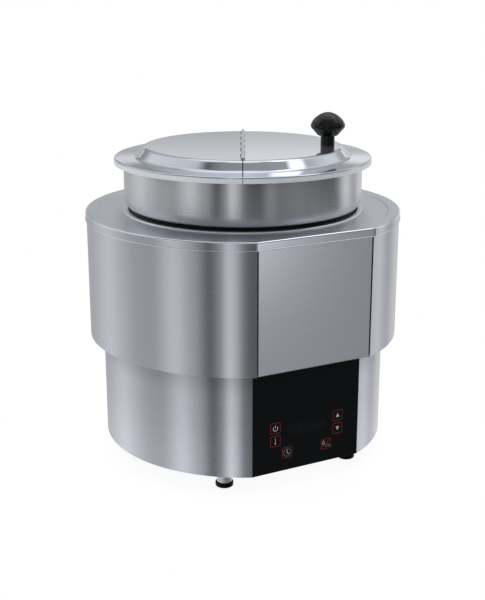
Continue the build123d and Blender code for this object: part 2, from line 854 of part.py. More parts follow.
# Inset pot: a drawn pot whose shoulder sits on the gasket
pot_rim_line = pot_rim_top - pot_sheet / 2
pot_band_line = pot_band_radius - pot_sheet / 2
pot_body_line = pot_body_radius - pot_sheet / 2
pot_ledge_line = pot_seat + pot_sheet / 2
pot_floor_line = pot_floor - pot_sheet / 2
pot_taper_length = pot_taper_height / cos(radians(pot_taper))
pot_taper_in = pot_taper_height * tan(radians(pot_taper))
pot_band_bend = 0.5 * pot_taper_length / tan(radians(pot_taper / 2))
pot_shoulder_bend = 0.27 * pot_taper_length / tan(radians((90 - pot_taper) / 2))
with BuildPart() as inset_pot:
    with BuildSketch(Plane.XZ):
        with BuildLine():
            FilletPolyline(
                (pot_rim_radius, pot_rim_line),
                (pot_band_line, pot_rim_line),
                (pot_band_line, pot_ledge_line + pot_taper_height),
                (pot_band_line - pot_taper_in, pot_ledge_line),
                (pot_body_line, pot_ledge_line),
                (pot_body_line, pot_floor_line),
                (0, pot_floor_line),
                radius=[
                    pot_rim_bend,
                    pot_band_bend,
                    pot_shoulder_bend,
                    pot_neck_bend,
                    pot_floor_bend,
                ],
            )
        trace(line_width=pot_sheet)
    revolve(axis=Axis.Z)
finish(inset_pot, "inset_pot")

# Lid: two halves of one pressed cover, split along the hinge line
brim_line = pot_rim_top + lid_gap + lid_sheet / 2
plateau_line = brim_line + lid_brim_rise + lid_dome_height
plateau_top = plateau_line + lid_sheet / 2
plateau_under = plateau_line - lid_sheet / 2
hinge_half = plateau_radius - hinge_end_margin
knuckle_pitch = 2 * hinge_half / hinge_knuckles
knuckle_length = knuckle_pitch - knuckle_gap
barrel_z = plateau_top + barrel_rise
hinge_bay = barrel_radius + barrel_gap
knuckle_places = [knuckle_pitch * (i + 0.5) - hinge_half for i in range(hinge_knuckles)]
fixed_knuckles = knuckle_places[0::2]
flap_knuckles = knuckle_places[1::2]
lid_top_plane = Plane((0, 0, plateau_top), x_dir=flap_way, z_dir=(0, 0, 1))
knob_reach = plateau_radius - knob_inset
knob_foot = flap_way * knob_reach + Vector(0, 0, plateau_top)


def lid_cover():
    """Whole pressed cover with the hinge's bay cut through its top."""
    with BuildSketch(Plane.XZ) as section:
        with BuildLine():
            FilletPolyline(
                (brim_radius - lid_sheet / 2, brim_line + lid_sheet / 2 - lid_lip),
                (brim_radius - lid_sheet / 2, brim_line),
                (dome_radius, brim_line + lid_brim_rise),
                (plateau_radius, plateau_line),
                (0, plateau_line),
                radius=[lid_lip_bend, lid_dome_bend, lid_dome_bend],
            )
        trace(line_width=lid_sheet)
    revolve(section.sketch, axis=Axis.Z)
    with BuildSketch(lid_top_plane) as bay:
        Rectangle(2 * hinge_bay, 2 * hinge_half + knuckle_gap)
    extrude(bay.sketch, amount=-2 * lid_sheet, mode=Mode.SUBTRACT)


def hinge_leaf(side, own_knuckles, notches):
    """Strip under the lid's top with rolled knuckles on the hinge line."""
    leaf_middle = side * (hinge_bay + leaf_width / 2)
    with BuildSketch(lid_top_plane.offset(-lid_sheet)) as strip:
        with Locations((leaf_middle, 0)):
            Rectangle(leaf_width, 2 * hinge_half)
        for place in own_knuckles:
            with Locations((side * hinge_bay / 2, place)):
                Rectangle(hinge_bay, knuckle_length)
        for place in notches:
            with Locations((side * (hinge_bay + notch_depth / 2), place)):
                Rectangle(notch_depth, knuckle_length, mode=Mode.SUBTRACT)
    extrude(strip.sketch, amount=-leaf_sheet)
    for place in own_knuckles:
        knuckle_plane = Plane(
            hinge_way * (place - knuckle_length / 2) + Vector(0, 0, barrel_z), z_dir=hinge_way
        )
        with BuildSketch(knuckle_plane) as knuckle:
            Circle(barrel_radius)
        extrude(knuckle.sketch, amount=knuckle_length)
    with BuildSketch(Plane(Vector(0, 0, barrel_z), z_dir=hinge_way)) as bore:
        Circle(pin_radius + thread_gap)
    extrude(bore.sketch, amount=hinge_half, both=True, mode=Mode.SUBTRACT)


with BuildPart() as lid_fixed_half:
    lid_cover()
    split(bisect_by=hinge_plane.offset(-lid_slit / 2), keep=Keep.BOTTOM)
    with BuildSketch(lid_top_plane):
        for place in flap_knuckles:
            with Locations((0, place)):
                Rectangle(2 * (hinge_bay + notch_depth), knuckle_length)
    extrude(amount=-2 * lid_sheet, mode=Mode.SUBTRACT)
finish(lid_fixed_half, "lid_fixed_half")

with BuildPart() as lid_flap_half:
    lid_cover()
    split(bisect_by=hinge_plane.offset(lid_slit / 2), keep=Keep.TOP)
    with BuildSketch(Plane(knob_foot)):
        Circle(knob_screw_radius + bolt_gap)
    extrude(amount=-2 * lid_sheet, mode=Mode.SUBTRACT)
finish(lid_flap_half, "lid_flap_half")

with BuildPart() as hinge_leaf_fixed:
    hinge_leaf(-1, fixed_knuckles, flap_knuckles)
finish(hinge_leaf_fixed, "hinge_leaf_fixed")

with BuildPart() as hinge_leaf_flap:
    hinge_leaf(1, flap_knuckles, [])
finish(hinge_leaf_flap, "hinge_leaf_flap")

with BuildPart() as hinge_pin:
    with BuildSketch(Plane(Vector(0, 0, barrel_z), z_dir=hinge_way)):
        Circle(pin_radius)
    extrude(amount=hinge_half - pin_recess, both=True)
finish(hinge_pin, "hinge_pin")

# Knob on the flap, held from below by a screw and washer
knob_cone_top = knob_stem_height + knob_cone_height
knob_widest = knob_cone_top + knob_cheek
knob_top = knob_widest + knob_dome_height
knob_axis = Axis(knob_foot, (0, 0, 1))
with BuildPart() as lid_knob:
    with BuildSketch(Plane(knob_foot, x_dir=flap_way, z_dir=-hinge_way)):
        with BuildLine():
            cone_top = (knob_radius - 0.55 * knob_cheek, knob_cone_top)
            Polyline(
                (0, 0),
                (knob_stem_radius, 0),
                (knob_stem_radius, knob_stem_height),
                (knob_neck_radius, knob_stem_height),
                cone_top,
            )
            Bezier(
                cone_top,
                (knob_radius, knob_widest - 0.5 * knob_cheek),
                (knob_radius, knob_widest),
            )
            Bezier(
                (knob_radius, knob_widest),
                (knob_radius, knob_widest + 0.38 * knob_dome_height),
                (0.5 * knob_radius, knob_top),
                (0, knob_top),
            )
            Line((0, knob_top), (0, 0))
        make_face()
    revolve(axis=knob_axis)
    with BuildSketch(Plane(knob_foot)):
        Circle(knob_screw_radius + thread_gap)
    extrude(amount=knob_screw_depth + bolt_gap, mode=Mode.SUBTRACT)
finish(lid_knob, "lid_knob")

washer_plane = Plane(knob_foot).offset(-lid_sheet)
with BuildPart() as knob_washer:
    with BuildSketch(washer_plane):
        Circle(knob_washer_radius)
        Circle(knob_screw_radius + bolt_gap, mode=Mode.SUBTRACT)
    extrude(amount=-knob_washer_height)
finish(knob_washer, "knob_washer")

with BuildPart() as knob_screw:
    with BuildSketch(washer_plane.offset(-knob_washer_height)):
        Circle(knob_screw_head_radius)
    extrude(amount=-knob_screw_head)
    with BuildSketch(washer_plane.offset(-knob_washer_height)):
        Circle(knob_screw_radius)
    extrude(amount=knob_washer_height + lid_sheet + knob_screw_depth)
finish(knob_screw, "knob_screw")
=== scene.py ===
import json
from math import asin, atan2, ceil, copysign, cos, pi, radians, sin, sqrt, tan

import bmesh
import bpy
from bpy.props import FloatProperty, FloatVectorProperty, IntProperty, PointerProperty
from mathutils import Matrix, Vector


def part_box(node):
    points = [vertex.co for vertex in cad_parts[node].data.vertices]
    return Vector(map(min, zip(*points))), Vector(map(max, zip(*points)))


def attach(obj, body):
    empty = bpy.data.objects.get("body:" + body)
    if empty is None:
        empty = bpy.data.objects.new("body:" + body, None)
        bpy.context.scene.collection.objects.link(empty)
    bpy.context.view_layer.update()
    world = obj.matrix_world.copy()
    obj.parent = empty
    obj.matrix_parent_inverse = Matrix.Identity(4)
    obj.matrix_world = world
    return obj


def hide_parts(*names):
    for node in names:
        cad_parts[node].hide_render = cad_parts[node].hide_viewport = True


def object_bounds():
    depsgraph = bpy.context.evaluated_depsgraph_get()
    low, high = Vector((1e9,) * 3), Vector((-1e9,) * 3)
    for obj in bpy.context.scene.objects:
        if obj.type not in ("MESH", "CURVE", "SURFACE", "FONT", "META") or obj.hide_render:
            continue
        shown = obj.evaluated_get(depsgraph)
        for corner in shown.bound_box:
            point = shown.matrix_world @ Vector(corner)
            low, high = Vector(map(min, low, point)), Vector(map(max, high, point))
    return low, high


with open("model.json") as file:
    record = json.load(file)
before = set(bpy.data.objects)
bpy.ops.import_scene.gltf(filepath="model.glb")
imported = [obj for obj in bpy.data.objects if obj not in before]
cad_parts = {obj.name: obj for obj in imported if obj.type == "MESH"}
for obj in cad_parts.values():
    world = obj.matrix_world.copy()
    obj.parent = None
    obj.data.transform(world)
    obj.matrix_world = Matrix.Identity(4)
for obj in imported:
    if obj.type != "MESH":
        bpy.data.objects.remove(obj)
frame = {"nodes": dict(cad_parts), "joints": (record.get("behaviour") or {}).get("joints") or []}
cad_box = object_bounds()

bl_info = {
    "name": "Hot Food Well",
    "version": (1, 0, 0),
    "blender": (4, 5, 0),
    "location": "View3D > Sidebar > Food Well",
    "description": "Finishes a round hot food well in brushed steel and prints its touch panel",
    "category": "Object",
}

# Photograph's frame in pixels
IMAGE_HEIGHT = 600

MM = 0.001

# Fineness of the pressed meshes: steps round the deck, along its front, round half of the lid and
# round a bend of the deck, then degrees of a bent sheet's facet and of an edge that stays sharp
ARC_STEPS = 360
FRONT_STEPS = 60
HALF_RING_STEPS = 240
BEND_STEPS = 12
BEND_FACET = 3
SHARP_ANGLE = 30

# Steps round the floor, and round a ring, a corner and a lamp of the print
FLOOR_STEPS = 96
RING_STEPS = 40
CORNER_STEPS = 6
LAMP_STEPS = 24

# Places of the materials on the deck's lip and bend, and on the lid's turned edge
DECK_FRONT_LIP = 1
DECK_ROUND_LIP = 2
DECK_EDGE = 3
LID_EDGE = 1

# Depth of brush lines and moulded grain, and of polishing lines, in metres
GRAIN_DEPTH = 0.0002
POLISH_DEPTH = 0.0001

# How much the tint and the roughness of a finish vary over it
BRUSH_SPREAD = 0.01
POLISH_TINT = 0.03
POLISH_SPREAD = 0.4
MOULDED_TINT = 0.15
MOULDED_SPREAD = 0.05

# How much brushing smears reflections, on round walls and on the level deck
ROUND_SMEAR = 1.0
LEVEL_SMEAR = 0.8
QUARTER_TURN = 0.25

# Painted shade along the folds of the upper front panel: metres in from its sides, metres up from
# its foot, the run in which it ends under the deck, and its share of the steel's colour
SIDE_FOLD_SHADE = (0.0010, 0.0006)
FOOT_FOLD_SHADE = (0.0004, 0.0016)
FOLD_SHADE_END = 0.0002
FOLD_SHADE = 0.15

# Shades of the studio's walls and flats, by degrees to the right of the camera
STUDIO_WALLS = (
    (-180, 0.56),
    (-150, 0.60),
    (-112, 0.92),
    (-98, 0.68),
    (-84, 0.50),
    (-70, 0.50),
    (-51, 0.92),
    (-36, 0.50),
    (-24, 0.10),
    (-17, 0.36),
    (-10, 1.00),
    (-4, 0.64),
    (1, 0.24),
    (6, 0.12),
    (16, 0.10),
    (26, 0.34),
    (36, 0.22),
    (54, 0.27),
    (66, 0.21),
    (98, 0.14),
    (116, 0.98),
    (131, 0.55),
    (148, 0.86),
    (180, 0.64),
)

# Light on the walls by height, as the sine of the angle above the level
WALL_LIGHT = (
    (-0.42, 1.22),
    (-0.30, 0.96),
    (-0.22, 0.90),
    (0.10, 0.96),
    (0.13, 0.86),
    (0.17, 1.42),
    (0.18, 1.42),
    (0.205, 0.62),
)

# Shades of the flats that hang above the walls, by degrees to the right of the camera
HIGH_FLATS = (
    (-180, 0.50),
    (-160, 0.55),
    (-130, 0.95),
    (-98, 0.88),
    (-86, 0.82),
    (-68, 0.13),
    (-58, 0.25),
    (-40, 0.36),
    (50, 0.42),
    (84, 0.46),
    (100, 0.66),
    (130, 0.95),
    (160, 0.55),
    (180, 0.50),
)

# Soft round lights: degrees right of the camera and above the level, degrees from the middle at
# which the light is full and is gone, and shade
STUDIO_LAMPS = (
    (180, 62, 14, 24, 1.35),
    (126, 63, 6, 12, 2.6),
    (88, 52, 2, 10, 2.2),
    (0, 90, 5, 13, 1.3),
)

# Where the walls end and the flats are full, as the sine of the angle above the level, and the
# place of the level on the ramp of wall light
WALLS_END = 0.28
FLATS_FULL = 0.42
LEVEL_PLACE = 0.5


def colour_property(name, description, default):
    """A colour that a user can change."""
    return FloatVectorProperty(
        name=name, description=description, subtype="COLOR", size=3, min=0, max=1, default=default
    )


def share_property(name, description, default):
    """A share from 0 to 1 that a user can change."""
    return FloatProperty(
        name=name, description=description, subtype="FACTOR", min=0, max=1, default=default
    )


def length_property(name, description, default):
    """A length in metres that a user can change."""
    return FloatProperty(
        name=name,
        description=description,
        subtype="DISTANCE",
        unit="LENGTH",
        precision=5,
        default=default,
    )


def angle_property(name, description, degrees):
    """An angle that a user can change."""
    return FloatProperty(
        name=name,
        description=description,
        subtype="ANGLE",
        unit="ROTATION",
        default=radians(degrees),
    )


def power_property(name, description, default):
    """A light's power in watts that a user can change."""
    return FloatProperty(
        name=name, description=description, subtype="POWER", unit="POWER", min=0, default=default
    )


class FoodWellSteel(bpy.types.PropertyGroup):
    """Steel finishes of the drum, deck, pot and lid."""

    drum_colour: colour_property("Drum", "Steel of the two drum shells", (0.540, 0.556, 0.610))
    drum_roughness: share_property("Drum roughness", "Roughness of the drum's brushing", 0.27)
    # Painted shade under the shoulder and painted light from the floor, in the lower shell's colour
    shoulder_shade: share_property("Shoulder shade", "Shade on the shell under the shoulder", 0.76)
    shade_depth: length_property("Shade depth", "How far down the shoulder's shade reaches", 0.034)
    floor_light: FloatProperty(
        name="Floor light",
        description="Light from the floor at the lower shell's foot",
        default=1.18,
        min=1,
    )
    # The front panel's straight brushing is its own; its steel is painted lighter than the drum's, as
    # painted light
    panel_colour: colour_property("Front panel", "Steel of the upper front panel", (0.85, 0.872, 0.96))
    panel_roughness: share_property("Panel roughness", "Roughness of the upper front panel", 0.28)
    deck_colour: colour_property("Deck", "Steel of the deck", (0.68, 0.715, 0.77))
    deck_roughness: share_property("Deck roughness", "Roughness of the deck", 0.25)
    deck_turn: angle_property("Deck brushing", "Turn of the deck's brush lines from the front", 27.7)
    ring_colour: colour_property("Well ring", "Satin steel of the well pan", (0.80, 0.82, 0.86))
    ring_roughness: share_property("Ring roughness", "Roughness of the well pan", 0.40)
    deck_edge_roughness: share_property("Edge roughness", "Roughness of the deck's polished bend", 0.10)
    pot_colour: colour_property("Pot", "Steel of the inset pot", (0.60, 0.61, 0.645))
    pot_roughness: share_property("Pot roughness", "Roughness of the pot's brushing", 0.27)
    lid_colour: colour_property("Lid", "Polished steel of the lid", (0.565, 0.605, 0.665))
    lid_roughness: share_property("Lid roughness", "Roughness of the polished lid", 0.04)
    lid_haze: share_property("Lid haze", "Share of light that the polished lid scatters", 0.08)
    hinge_roughness: share_property("Hinge roughness", "Roughness of the hinge", 0.12)
    # The lid's turned edge is satin brushed and painted lighter: a near-white, partly matt copy of the lid
    # steel as painted light
    lid_edge_colour: colour_property("Lid edge", "Satin steel of the lid's turned edge", (0.94, 0.97, 1.0))
    lid_edge_roughness: share_property("Lid edge roughness", "Roughness of the lid's turned edge", 0.55)
    lid_edge_haze: share_property("Lid edge haze", "Share of light that the lid's edge scatters", 0.45)


class FoodWellPressing(bpy.types.PropertyGroup):
    """Pressed forms of the deck and lid."""

    sheet: length_property("Sheet", "Thickness of the deck and lid", 0.0008)
    deck_hem: length_property("Deck hem", "Radius of the round hem at the foot of the deck's lip", 0.0005)
    deck_bend: length_property("Deck bend", "Bend round the deck's edge", 0.0018)
    deck_land: length_property("Front land", "Level strip behind the front bend", 0.0014)
    deck_rim: length_property("Deck rim", "Width of the raised rim with its bend", 0.0117)
    deck_step: length_property("Deck step", "Run of the step down to the deck's floor", 0.0030)
    deck_recess: length_property("Deck recess", "Depth of the deck's floor", 0.0012)
    deck_hole: length_property("Deck hole", "Radius of the well's hole", 0.1291)
    lid_lip: length_property("Lid lip", "Height of the lid's turned edge", 0.0066)
    lid_lip_bend: length_property("Lid lip bend", "Bend of the lid's turned edge", 0.0013)
    brim_radius: length_property("Brim", "Radius of the lid's edge", 0.1425)
    brim_rise: length_property("Brim rise", "Rise of the brim towards the dome", 0.0006)
    dome_radius: length_property("Dome", "Radius at the foot of the dome", 0.1186)
    dome_bend: length_property("Dome bend", "Bends at the dome's foot and shoulder", 0.0060)
    plateau_radius: length_property("Plateau", "Radius at the dome's shoulder", 0.1095)
    lid_slit: length_property("Lid slit", "Gap between the lid's halves", 0.0010)
    hinge_half: length_property("Hinge", "Half of the hinge's length", 0.1065)
    hinge_bay: length_property("Hinge bay", "Half of the width that is cut for the hinge", 0.0024)
    notch_depth: length_property("Notch", "Depth of the notches beside the flap's knuckles", 0.0002)
    knuckle_gap: length_property("Knuckle gap", "Gap between two knuckles", 0.0004)
    knuckles: IntProperty(name="Knuckles", description="Knuckles of the hinge", default=10, min=2)


class FoodWellTrim(bpy.types.PropertyGroup):
    """Colours of the knob, rubber, feet and cord gland."""

    knob_colour: colour_property("Knob", "Moulded black of the knob", (0.002, 0.0025, 0.0025))
    rubber_colour: colour_property("Rubber", "Black of the gasket and foot pads", (0.003, 0.003, 0.0035))
    collar_colour: colour_property("Foot collar", "Satin steel of the foot collars", (0.62, 0.63, 0.66))
    gland_colour: colour_property("Cord gland", "Black of the cord gland", (0.02, 0.02, 0.021))


class FoodWellPanel(bpy.types.PropertyGroup):
    """Touch panel: its colours and the layout of its print, heights taken from the floor."""

    overlay_colour: colour_property("Panel", "Black of the touch panel", (0.0042, 0.0050, 0.0068))
    outline_colour: colour_property("Key outline", "Red of the key outlines", (0.36, 0.034, 0.028))
    symbol_colour: colour_property("Symbol", "Pale grey of the key symbols", (0.50, 0.50, 0.51))
    faint_colour: colour_property("Faint symbol", "Grey of the thin symbols", (0.20, 0.21, 0.22))
    unlit_colour: colour_property("Unlit display", "Grey of the unlit digits", (0.0078, 0.0090, 0.0112))
    lamp_colour: colour_property("Unlit lamp", "Grey of the small unlit lamps", (0.040, 0.048, 0.062))
    print_height: length_property("Print height", "How far the print stands proud", 0.00006)
    key_size: length_property("Key size", "Width and height of a key outline", 0.0120)
    key_corner: length_property("Key corner", "Corner radius of a key outline", 0.0014)
    outline_width: length_property("Outline width", "Line width of a key outline", 0.00036)
    middle_x: length_property("Middle", "How far the print's middle stands to the right", 0.0005)
    outer_key_x: length_property("Outer keys", "Reach of the outer keys from the middle", 0.0386)
    inner_key_x: length_property("Inner keys", "Reach of the inner keys from the middle", 0.0242)
    upper_key_z: length_property("Upper keys", "Height of the upper keys", 0.0738)
    middle_key_z: length_property("Middle keys", "Height of the middle keys", 0.0589)
    lower_key_z: length_property("Lower keys", "Height of the lower keys", 0.0433)
    display_z: length_property("Display", "Height of the display's middle", 0.0677)
    digit_pitch: length_property("Digit pitch", "Step from digit to digit", 0.0080)
    digit_width: length_property("Digit width", "Width of a digit", 0.0050)
    digit_height: length_property("Digit height", "Height of a digit", 0.0115)
    segment_width: length_property("Segment width", "Width of a digit's segment", 0.0012)
    segment_gap: share_property("Segment gap", "Gap as a share of a segment's width", 0.6)
    digit_count: IntProperty(name="Digits", description="Digits of the display", default=6, min=1)


class FoodWellStudio(bpy.types.PropertyGroup):
    """Camera, floor and light."""

    camera_place: FloatVectorProperty(
        name="Camera place",
        description="Where the camera stands",
        subtype="XYZ",
        unit="LENGTH",
        default=(-0.5588, -1.0660, 0.5323),
    )
    camera_heading: angle_property("Camera heading", "Turn from +Y towards +X", 27.7)
    camera_pitch: angle_property("Camera pitch", "Tilt below the horizon", 16.31)
    camera_lens: FloatProperty(
        name="Lens", description="Focal length in millimetres", default=65.2, min=1
    )
    shift_right: FloatProperty(
        name="Shift right",
        description="How far the frame moves right, in pixels",
        subtype="PIXEL",
        default=-1.0,
    )
    shift_up: FloatProperty(
        name="Shift up",
        description="How far the frame moves up, in pixels",
        subtype="PIXEL",
        default=-8.0,
    )
    floor_radius: length_property("Floor radius", "Radius of the pale floor", 0.30)
    floor_gap: length_property("Floor gap", "How far the floor lies below the feet", 0.0003)
    floor_bounce: share_property("Floor bounce", "Shade of the floor that lights the object", 0.8)
    floor_matt: share_property("Floor matt", "Shade of the seen floor that takes the shadow", 0.20)
    floor_glow: share_property("Floor glow", "Own light of the seen floor", 0.89)
    room_level: share_property("Room light", "Light of the room on matt surfaces", 0.62)
    softbox_size: length_property("Softbox size", "Width of the soft lamp above", 1.2)
    softbox_rise: length_property("Softbox rise", "Height of the soft lamp above the object", 1.5)
    softbox_power: power_property("Softbox", "Power of the soft lamp above", 9.0)
    card_size: length_property("Card size", "Width of the white card", 0.3)
    card_power: power_property("Card", "Power of the white card's light", 0.20)
    card_right: FloatProperty(name="Card turn", description="Degrees right of the camera", default=46.0)
    card_above: FloatProperty(name="Card rise", description="Degrees above the level", default=-6.0)


def add(tree, kind, **settings):
    """New node with its settings."""
    made = tree.nodes.new(kind)
    for name, value in settings.items():
        setattr(made, name, value)
    return made


def calculate(tree, operation, first, second=None):
    """Math node on two sockets or numbers, giving its result socket."""
    made = add(tree, "ShaderNodeMath", operation=operation)
    for socket, value in zip(made.inputs, (first, second)):
        if isinstance(value, (int, float)):
            socket.default_value = value
        elif value is not None:
            tree.links.new(value, socket)
    return made.outputs[0]


def remap(tree, source, low, high, start=0.0, end=1.0):
    """Source from start to end, turned smoothly into low to high."""
    made = add(tree, "ShaderNodeMapRange", interpolation_type="SMOOTHSTEP")
    made.inputs["From Min"].default_value = start
    made.inputs["From Max"].default_value = end
    made.inputs["To Min"].default_value = low
    made.inputs["To Max"].default_value = high
    tree.links.new(source, made.inputs["Value"])
    return made.outputs[0]


def blend_colours(tree, factor, first, second):
    """Colour between two colours or sockets, by a factor from 0 to 1."""
    made = add(tree, "ShaderNodeMix", data_type="RGBA")
    tree.links.new(factor, made.inputs["Factor"])
    for label, value in (("A", first), ("B", second)):
        socket = next(s for s in made.inputs if s.name == label and s.type == "RGBA")
        if isinstance(value, tuple):
            socket.default_value = (*value, 1)
        else:
            tree.links.new(value, socket)
    return next(s for s in made.outputs if s.type == "RGBA")


def vary_colour(tree, source, colour, share):
    """Colour from darker to lighter by a share, as a source goes from 0 to 1."""
    return blend_colours(tree, source, scaled(colour, 1 - share), scaled(colour, 1 + share))


def vary_value(tree, source, value, spread):
    """Value from less to more by a spread, as a source goes from 0 to 1."""
    return remap(tree, source, value - spread, value + spread)


def scale_vector(tree, source, share):
    """Colour or vector socket times a number or a socket."""
    made = add(tree, "ShaderNodeVectorMath", operation="SCALE")
    tree.links.new(source, made.inputs[0])
    if isinstance(share, float):
        made.inputs["Scale"].default_value = share
    else:
        tree.links.new(share, made.inputs["Scale"])
    return made.outputs[0]


def object_place(tree):
    """Sockets X, Y and Z of the place on the object."""
    parts = add(tree, "ShaderNodeSeparateXYZ")
    tree.links.new(add(tree, "ShaderNodeTexCoord").outputs["Object"], parts.inputs[0])
    return parts.outputs


def new_group(name, inputs, output):
    """Shader node group with named number inputs and one number output."""
    group = bpy.data.node_groups.new(name, "ShaderNodeTree")
    for label, default in inputs.items():
        socket = group.interface.new_socket(label, in_out="INPUT", socket_type="NodeSocketFloat")
        socket.default_value = default
    group.interface.new_socket(output, in_out="OUTPUT", socket_type="NodeSocketFloat")
    entry = group.nodes.new("NodeGroupInput")
    leave = group.nodes.new("NodeGroupOutput")
    return group, entry.outputs, leave.inputs[output]


def fine_noise(tree, place, dimensions="3D", detail=3.0, distortion=0.0):
    """Noise node at a place, with the scale left to the place."""
    noise = add(tree, "ShaderNodeTexNoise", noise_dimensions=dimensions)
    noise.inputs["Scale"].default_value = 1
    noise.inputs["Detail"].default_value = detail
    noise.inputs["Roughness"].default_value = 0.65
    noise.inputs["Distortion"].default_value = distortion
    tree.links.new(place, noise.inputs["Vector"])
    return noise


def round_brushing():
    """Fine lines that run round the vertical axis, on walls and on level faces alike."""
    name = "Round Brushing"
    if name in bpy.data.node_groups:
        return bpy.data.node_groups[name]
    group, given, result = new_group(name, {"Lines per metre": 900.0, "Drift": 3.0}, "Lines")
    place = add(group, "ShaderNodeTexCoord").outputs["Object"]
    flat = add(group, "ShaderNodeVectorMath", operation="MULTIPLY")
    flat.inputs[1].default_value = (1, 1, 0)
    group.links.new(place, flat.inputs[0])
    reach = add(group, "ShaderNodeVectorMath", operation="LENGTH")
    group.links.new(flat.outputs[0], reach.inputs[0])
    way = add(group, "ShaderNodeVectorMath", operation="NORMALIZE")
    group.links.new(flat.outputs[0], way.inputs[0])
    way_parts = add(group, "ShaderNodeSeparateXYZ")
    group.links.new(way.outputs[0], way_parts.inputs[0])
    height = object_place(group)["Z"]
    lines = given["Lines per metre"]
    drift = given["Drift"]
    spot = add(group, "ShaderNodeCombineXYZ")
    group.links.new(calculate(group, "MULTIPLY", reach.outputs["Value"], lines), spot.inputs["X"])
    group.links.new(calculate(group, "MULTIPLY", height, lines), spot.inputs["Y"])
    group.links.new(calculate(group, "MULTIPLY", way_parts.outputs["X"], drift), spot.inputs["Z"])
    noise = fine_noise(group, spot.outputs[0], dimensions="4D")
    group.links.new(calculate(group, "MULTIPLY", way_parts.outputs["Y"], drift), noise.inputs["W"])
    group.links.new(noise.outputs["Fac"], result)
    return group


def straight_brushing():
    """Fine lines that run from side to side along X, or turned clockwise from it."""
    name = "Straight Brushing"
    if name in bpy.data.node_groups:
        return bpy.data.node_groups[name]
    inputs = {"Lines per metre": 900.0, "Drift": 20.0, "Turn": 0.0}
    group, given, result = new_group(name, inputs, "Lines")
    turned = add(group, "ShaderNodeVectorRotate", rotation_type="Z_AXIS")
    group.links.new(add(group, "ShaderNodeTexCoord").outputs["Object"], turned.inputs["Vector"])
    group.links.new(given["Turn"], turned.inputs["Angle"])
    parts = add(group, "ShaderNodeSeparateXYZ")
    group.links.new(turned.outputs[0], parts.inputs[0])
    spot = add(group, "ShaderNodeCombineXYZ")
    group.links.new(calculate(group, "MULTIPLY", parts.outputs["X"], given["Drift"]), spot.inputs["X"])
    for axis in "YZ":
        across = calculate(group, "MULTIPLY", parts.outputs[axis], given["Lines per metre"])
        group.links.new(across, spot.inputs[axis])
    group.links.new(fine_noise(group, spot.outputs[0]).outputs["Fac"], result)
    return group


def even_noise(name, label, result_name, default, detail, distortion):
    """Node group of noise that is the same in every direction."""
    if name in bpy.data.node_groups:
        return bpy.data.node_groups[name]
    group, given, result = new_group(name, {label: default}, result_name)
    place = add(group, "ShaderNodeTexCoord").outputs["Object"]
    spot = scale_vector(group, place, given[label])
    noise = fine_noise(group, spot, detail=detail, distortion=distortion)
    group.links.new(noise.outputs["Fac"], result)
    return group


def moulded_grain():
    """Fine even grain of a moulded or rubber surface."""
    return even_noise(
        "Moulded Grain", "Grains per metre", "Grain", default=1500.0, detail=2.0, distortion=0.0
    )


def soft_patches():
    """Wide soft patches, as from wiping and handling."""
    return even_noise(
        "Soft Patches", "Patches per metre", "Patches", default=9.0, detail=4.0, distortion=0.6
    )


def place_group(tree, group, **values):
    """A node group in a material, with its own input values by place."""
    made = add(tree, "ShaderNodeGroup", node_tree=group)
    for label, value in values.items():
        made.inputs[label.replace("_", " ").capitalize()].default_value = value
    return made.outputs[0]


def new_material(name):
    """New material with one Principled shader: the material, its tree and its shader."""
    material = bpy.data.materials.new(name)
    material.use_nodes = True
    return material, material.node_tree, material.node_tree.nodes["Principled BSDF"]


def scaled(colour, share):
    """Colour times a share."""
    return tuple(part * share for part in colour)


def roughen(tree, shader, source, strength, depth):
    """Bump from a height source."""
    bump = add(tree, "ShaderNodeBump")
    bump.inputs["Strength"].default_value = strength
    bump.inputs["Distance"].default_value = depth
    tree.links.new(source, bump.inputs["Height"])
    tree.links.new(bump.outputs[0], shader.inputs["Normal"])


def brushed_steel(
    name, colour, roughness, brushing, lines, relief=0.003, contrast=0.015, haze=0.0, **turn
):
    """Brushed steel: brush lines in tint, roughness and relief, and soft patches in roughness."""
    material, tree, shader = new_material(name)
    shader.inputs["Metallic"].default_value = 1 - haze
    brush = place_group(tree, brushing, lines_per_metre=lines, **turn)
    patches = place_group(tree, soft_patches())
    tree.links.new(vary_colour(tree, brush, colour, contrast), shader.inputs["Base Color"])
    fine = vary_value(tree, brush, roughness, BRUSH_SPREAD)
    wide = vary_value(tree, patches, 0, BRUSH_SPREAD)
    tree.links.new(calculate(tree, "ADD", fine, wide), shader.inputs["Roughness"])
    roughen(tree, shader, brush, relief, GRAIN_DEPTH)
    return material


def smear_upright(material):
    """Smear the reflections of a round wall up and down, across its brush lines."""
    tree = material.node_tree
    shader = tree.nodes["Principled BSDF"]
    shader.inputs["Anisotropic"].default_value = ROUND_SMEAR
    shader.inputs["Anisotropic Rotation"].default_value = QUARTER_TURN
    tangent = add(tree, "ShaderNodeTangent", direction_type="RADIAL", axis="Z")
    tree.links.new(tangent.outputs[0], shader.inputs["Tangent"])


def smear_level(material, turn):
    """Smear the reflections of a level sheet across its brush lines."""
    tree = material.node_tree
    shader = tree.nodes["Principled BSDF"]
    shader.inputs["Anisotropic"].default_value = LEVEL_SMEAR
    tangent = add(tree, "ShaderNodeCombineXYZ")
    tangent.inputs["X"].default_value = sin(turn)
    tangent.inputs["Y"].default_value = cos(turn)
    tree.links.new(tangent.outputs[0], shader.inputs["Tangent"])


def polished_steel(name, colour, roughness, haze=0.0):
    """Polished steel with faint wiping patches."""
    material, tree, shader = new_material(name)
    shader.inputs["Metallic"].default_value = 1 - haze
    patches = place_group(tree, soft_patches(), patches_per_metre=14)
    tree.links.new(vary_colour(tree, patches, colour, POLISH_TINT), shader.inputs["Base Color"])
    gloss = vary_value(tree, patches, roughness, POLISH_SPREAD * roughness)
    tree.links.new(gloss, shader.inputs["Roughness"])
    brush = place_group(tree, round_brushing(), lines_per_metre=1400)
    roughen(tree, shader, brush, strength=0.01, depth=POLISH_DEPTH)
    return material


